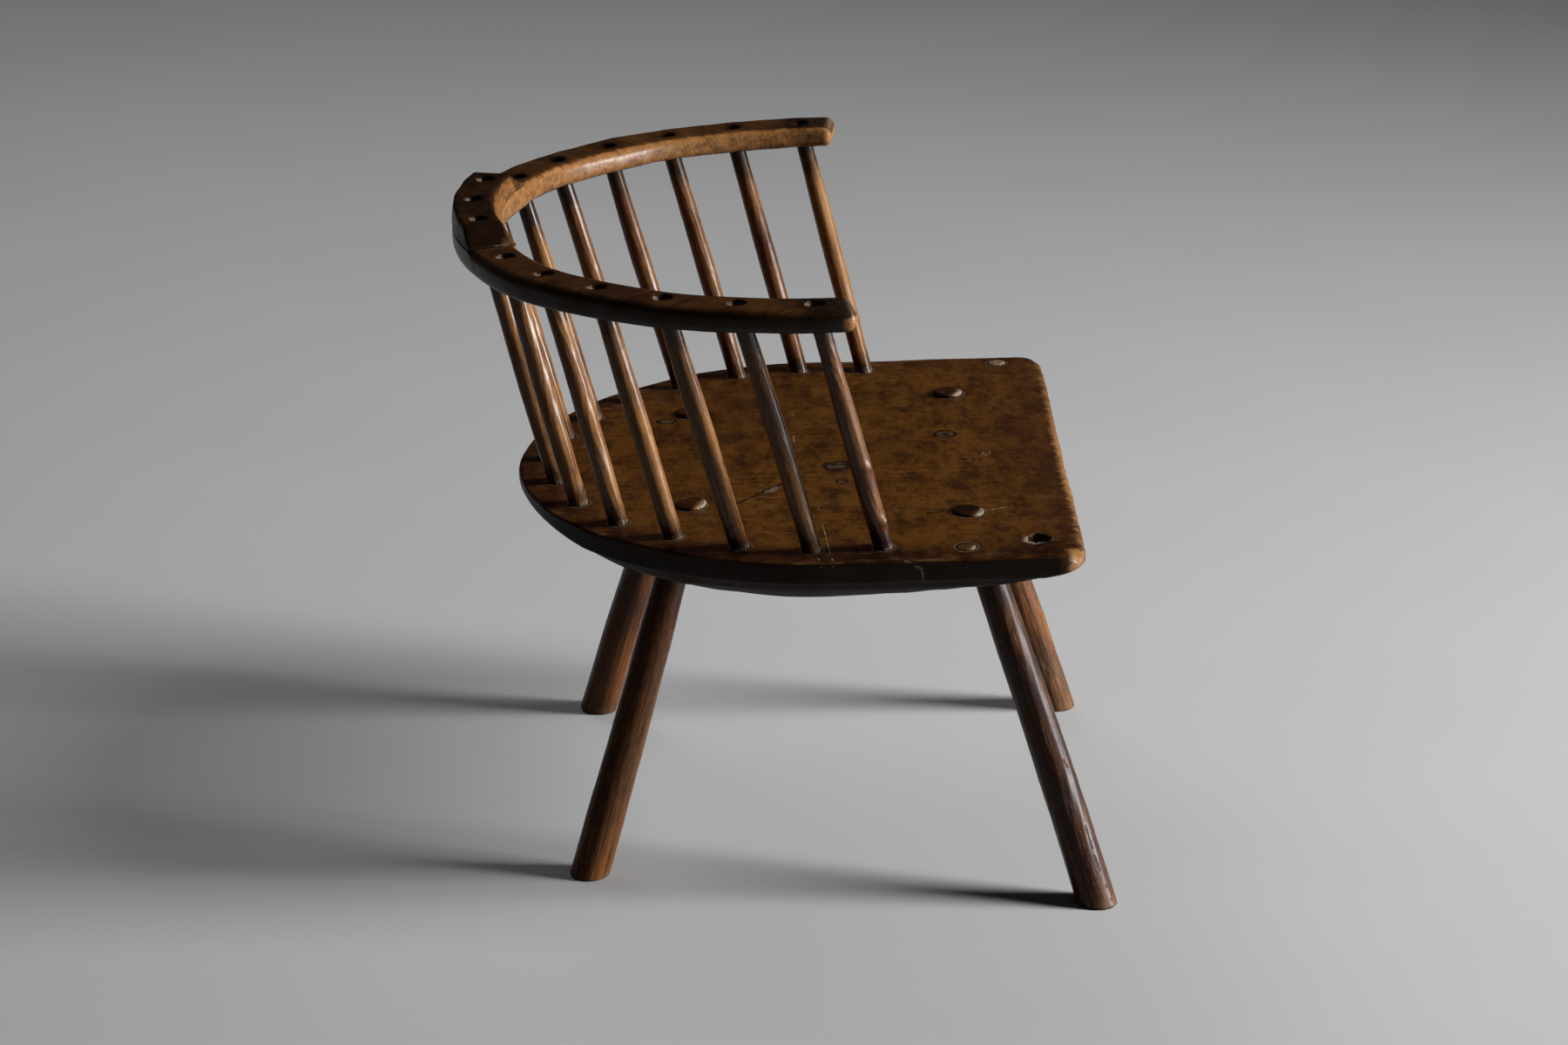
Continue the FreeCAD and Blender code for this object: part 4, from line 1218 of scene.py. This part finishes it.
# Painted shade in the halo round each foot, and a painted glint in its pale wax ring.
colour = net.layers(age["Colour"], (reduce(or_, fine_scratches) * 0.3, SCRATCH), (halo * 0.45, HALO),
                    (core * 0.75, KNOT_HEART), (gaps * 0.9, GAP), ((pale_marks | wax * 0.5) * 0.75, OLD_WAX))
net.feed(shader, {"Base Color": colour})
net.feed(bump, {"Height": age["Height"] - gaps * 2.2 - pale_marks * 0.8})
print("seat marks:", len(circles) + len(knots) + len(DARK_MARKS) + len(PALE_MARKS))

# %% [markdown]
# ## Worm holes and a split
# The right front leg has a few worm holes and short cracks by its foot, and one stick is split near its top.
# They are drawn like the scratches of the seat, but their places are in the room. A hole is a mark without
# length, so it is round.

# %% Small marks
SMALL_MARKS = {
    "leg_wood": [((-191, -223, 157), (-191, -223, 157), 2.2), ((-222, -272, 19), (-222, -272, 19), 2.0),
                 ((-224, -277, 8), (-224, -277, 8), 1.8), ((-213, -253, 68), (-217, -259, 50), 1.5),
                 ((-219, -261, 44), (-221, -266, 32), 1.8), ((-202, -232, 122), (-202, -236, 116), 1.8)],
    "stick_wood": [((-267, 37, 502), (-265, 32, 487), 1.8), ((-265, 32, 487), (-263, 28, 474), 1.4)],
}
for slot, rows in SMALL_MARKS.items():
    _, net, age, bump, shader = woods[slot]
    dark = straight_marks(net, net.add("TexCoord")["Object"], rows)
    net.feed(shader, {"Base Color": net.layers(age["Colour"], (dark * 0.9, GAP)),
                      "Coat Weight": age["Gloss"] * (1 - dark)})
    net.feed(bump, {"Height": age["Height"] - dark * 2.0})
    print(slot, "small marks:", len(rows))

# %% [markdown]
# ## The floor's paper
# The floor is seen pale, but it throws back less light than it seems to: with a truly pale sheet the dark sides
# of the sticks would glow. The light path node tells a ray that comes from the eye or a shine from one that has
# been scattered by the wood.

# %% Floor paper
PAPER, PAPER_SPECKLED, PAPER_BOUNCE = (0.50, 0.50, 0.50, 1), (0.54, 0.54, 0.54, 1), (0.09, 0.09, 0.09, 1)
paper = bpy.data.materials.new("pale_floor")
paper.use_nodes = True
net = Net(paper.node_tree)
speckled = net.noise(net.add("TexCoord")["Object"], 3.0, 4.0)
scattered = net.add("LightPath")["Is Diffuse Ray"]
net.feed(net.tree.nodes["Principled BSDF"].inputs,
         {"Base Color": net.layers(PAPER, (speckled, PAPER_SPECKLED), (scattered, PAPER_BOUNCE)),
          "Roughness": 0.9, "Specular IOR Level": 0.0})
floor_mesh.materials.append(paper)
print("floor paper:", PAPER[0], "to the eye,", PAPER_BOUNCE[0], "to the wood")
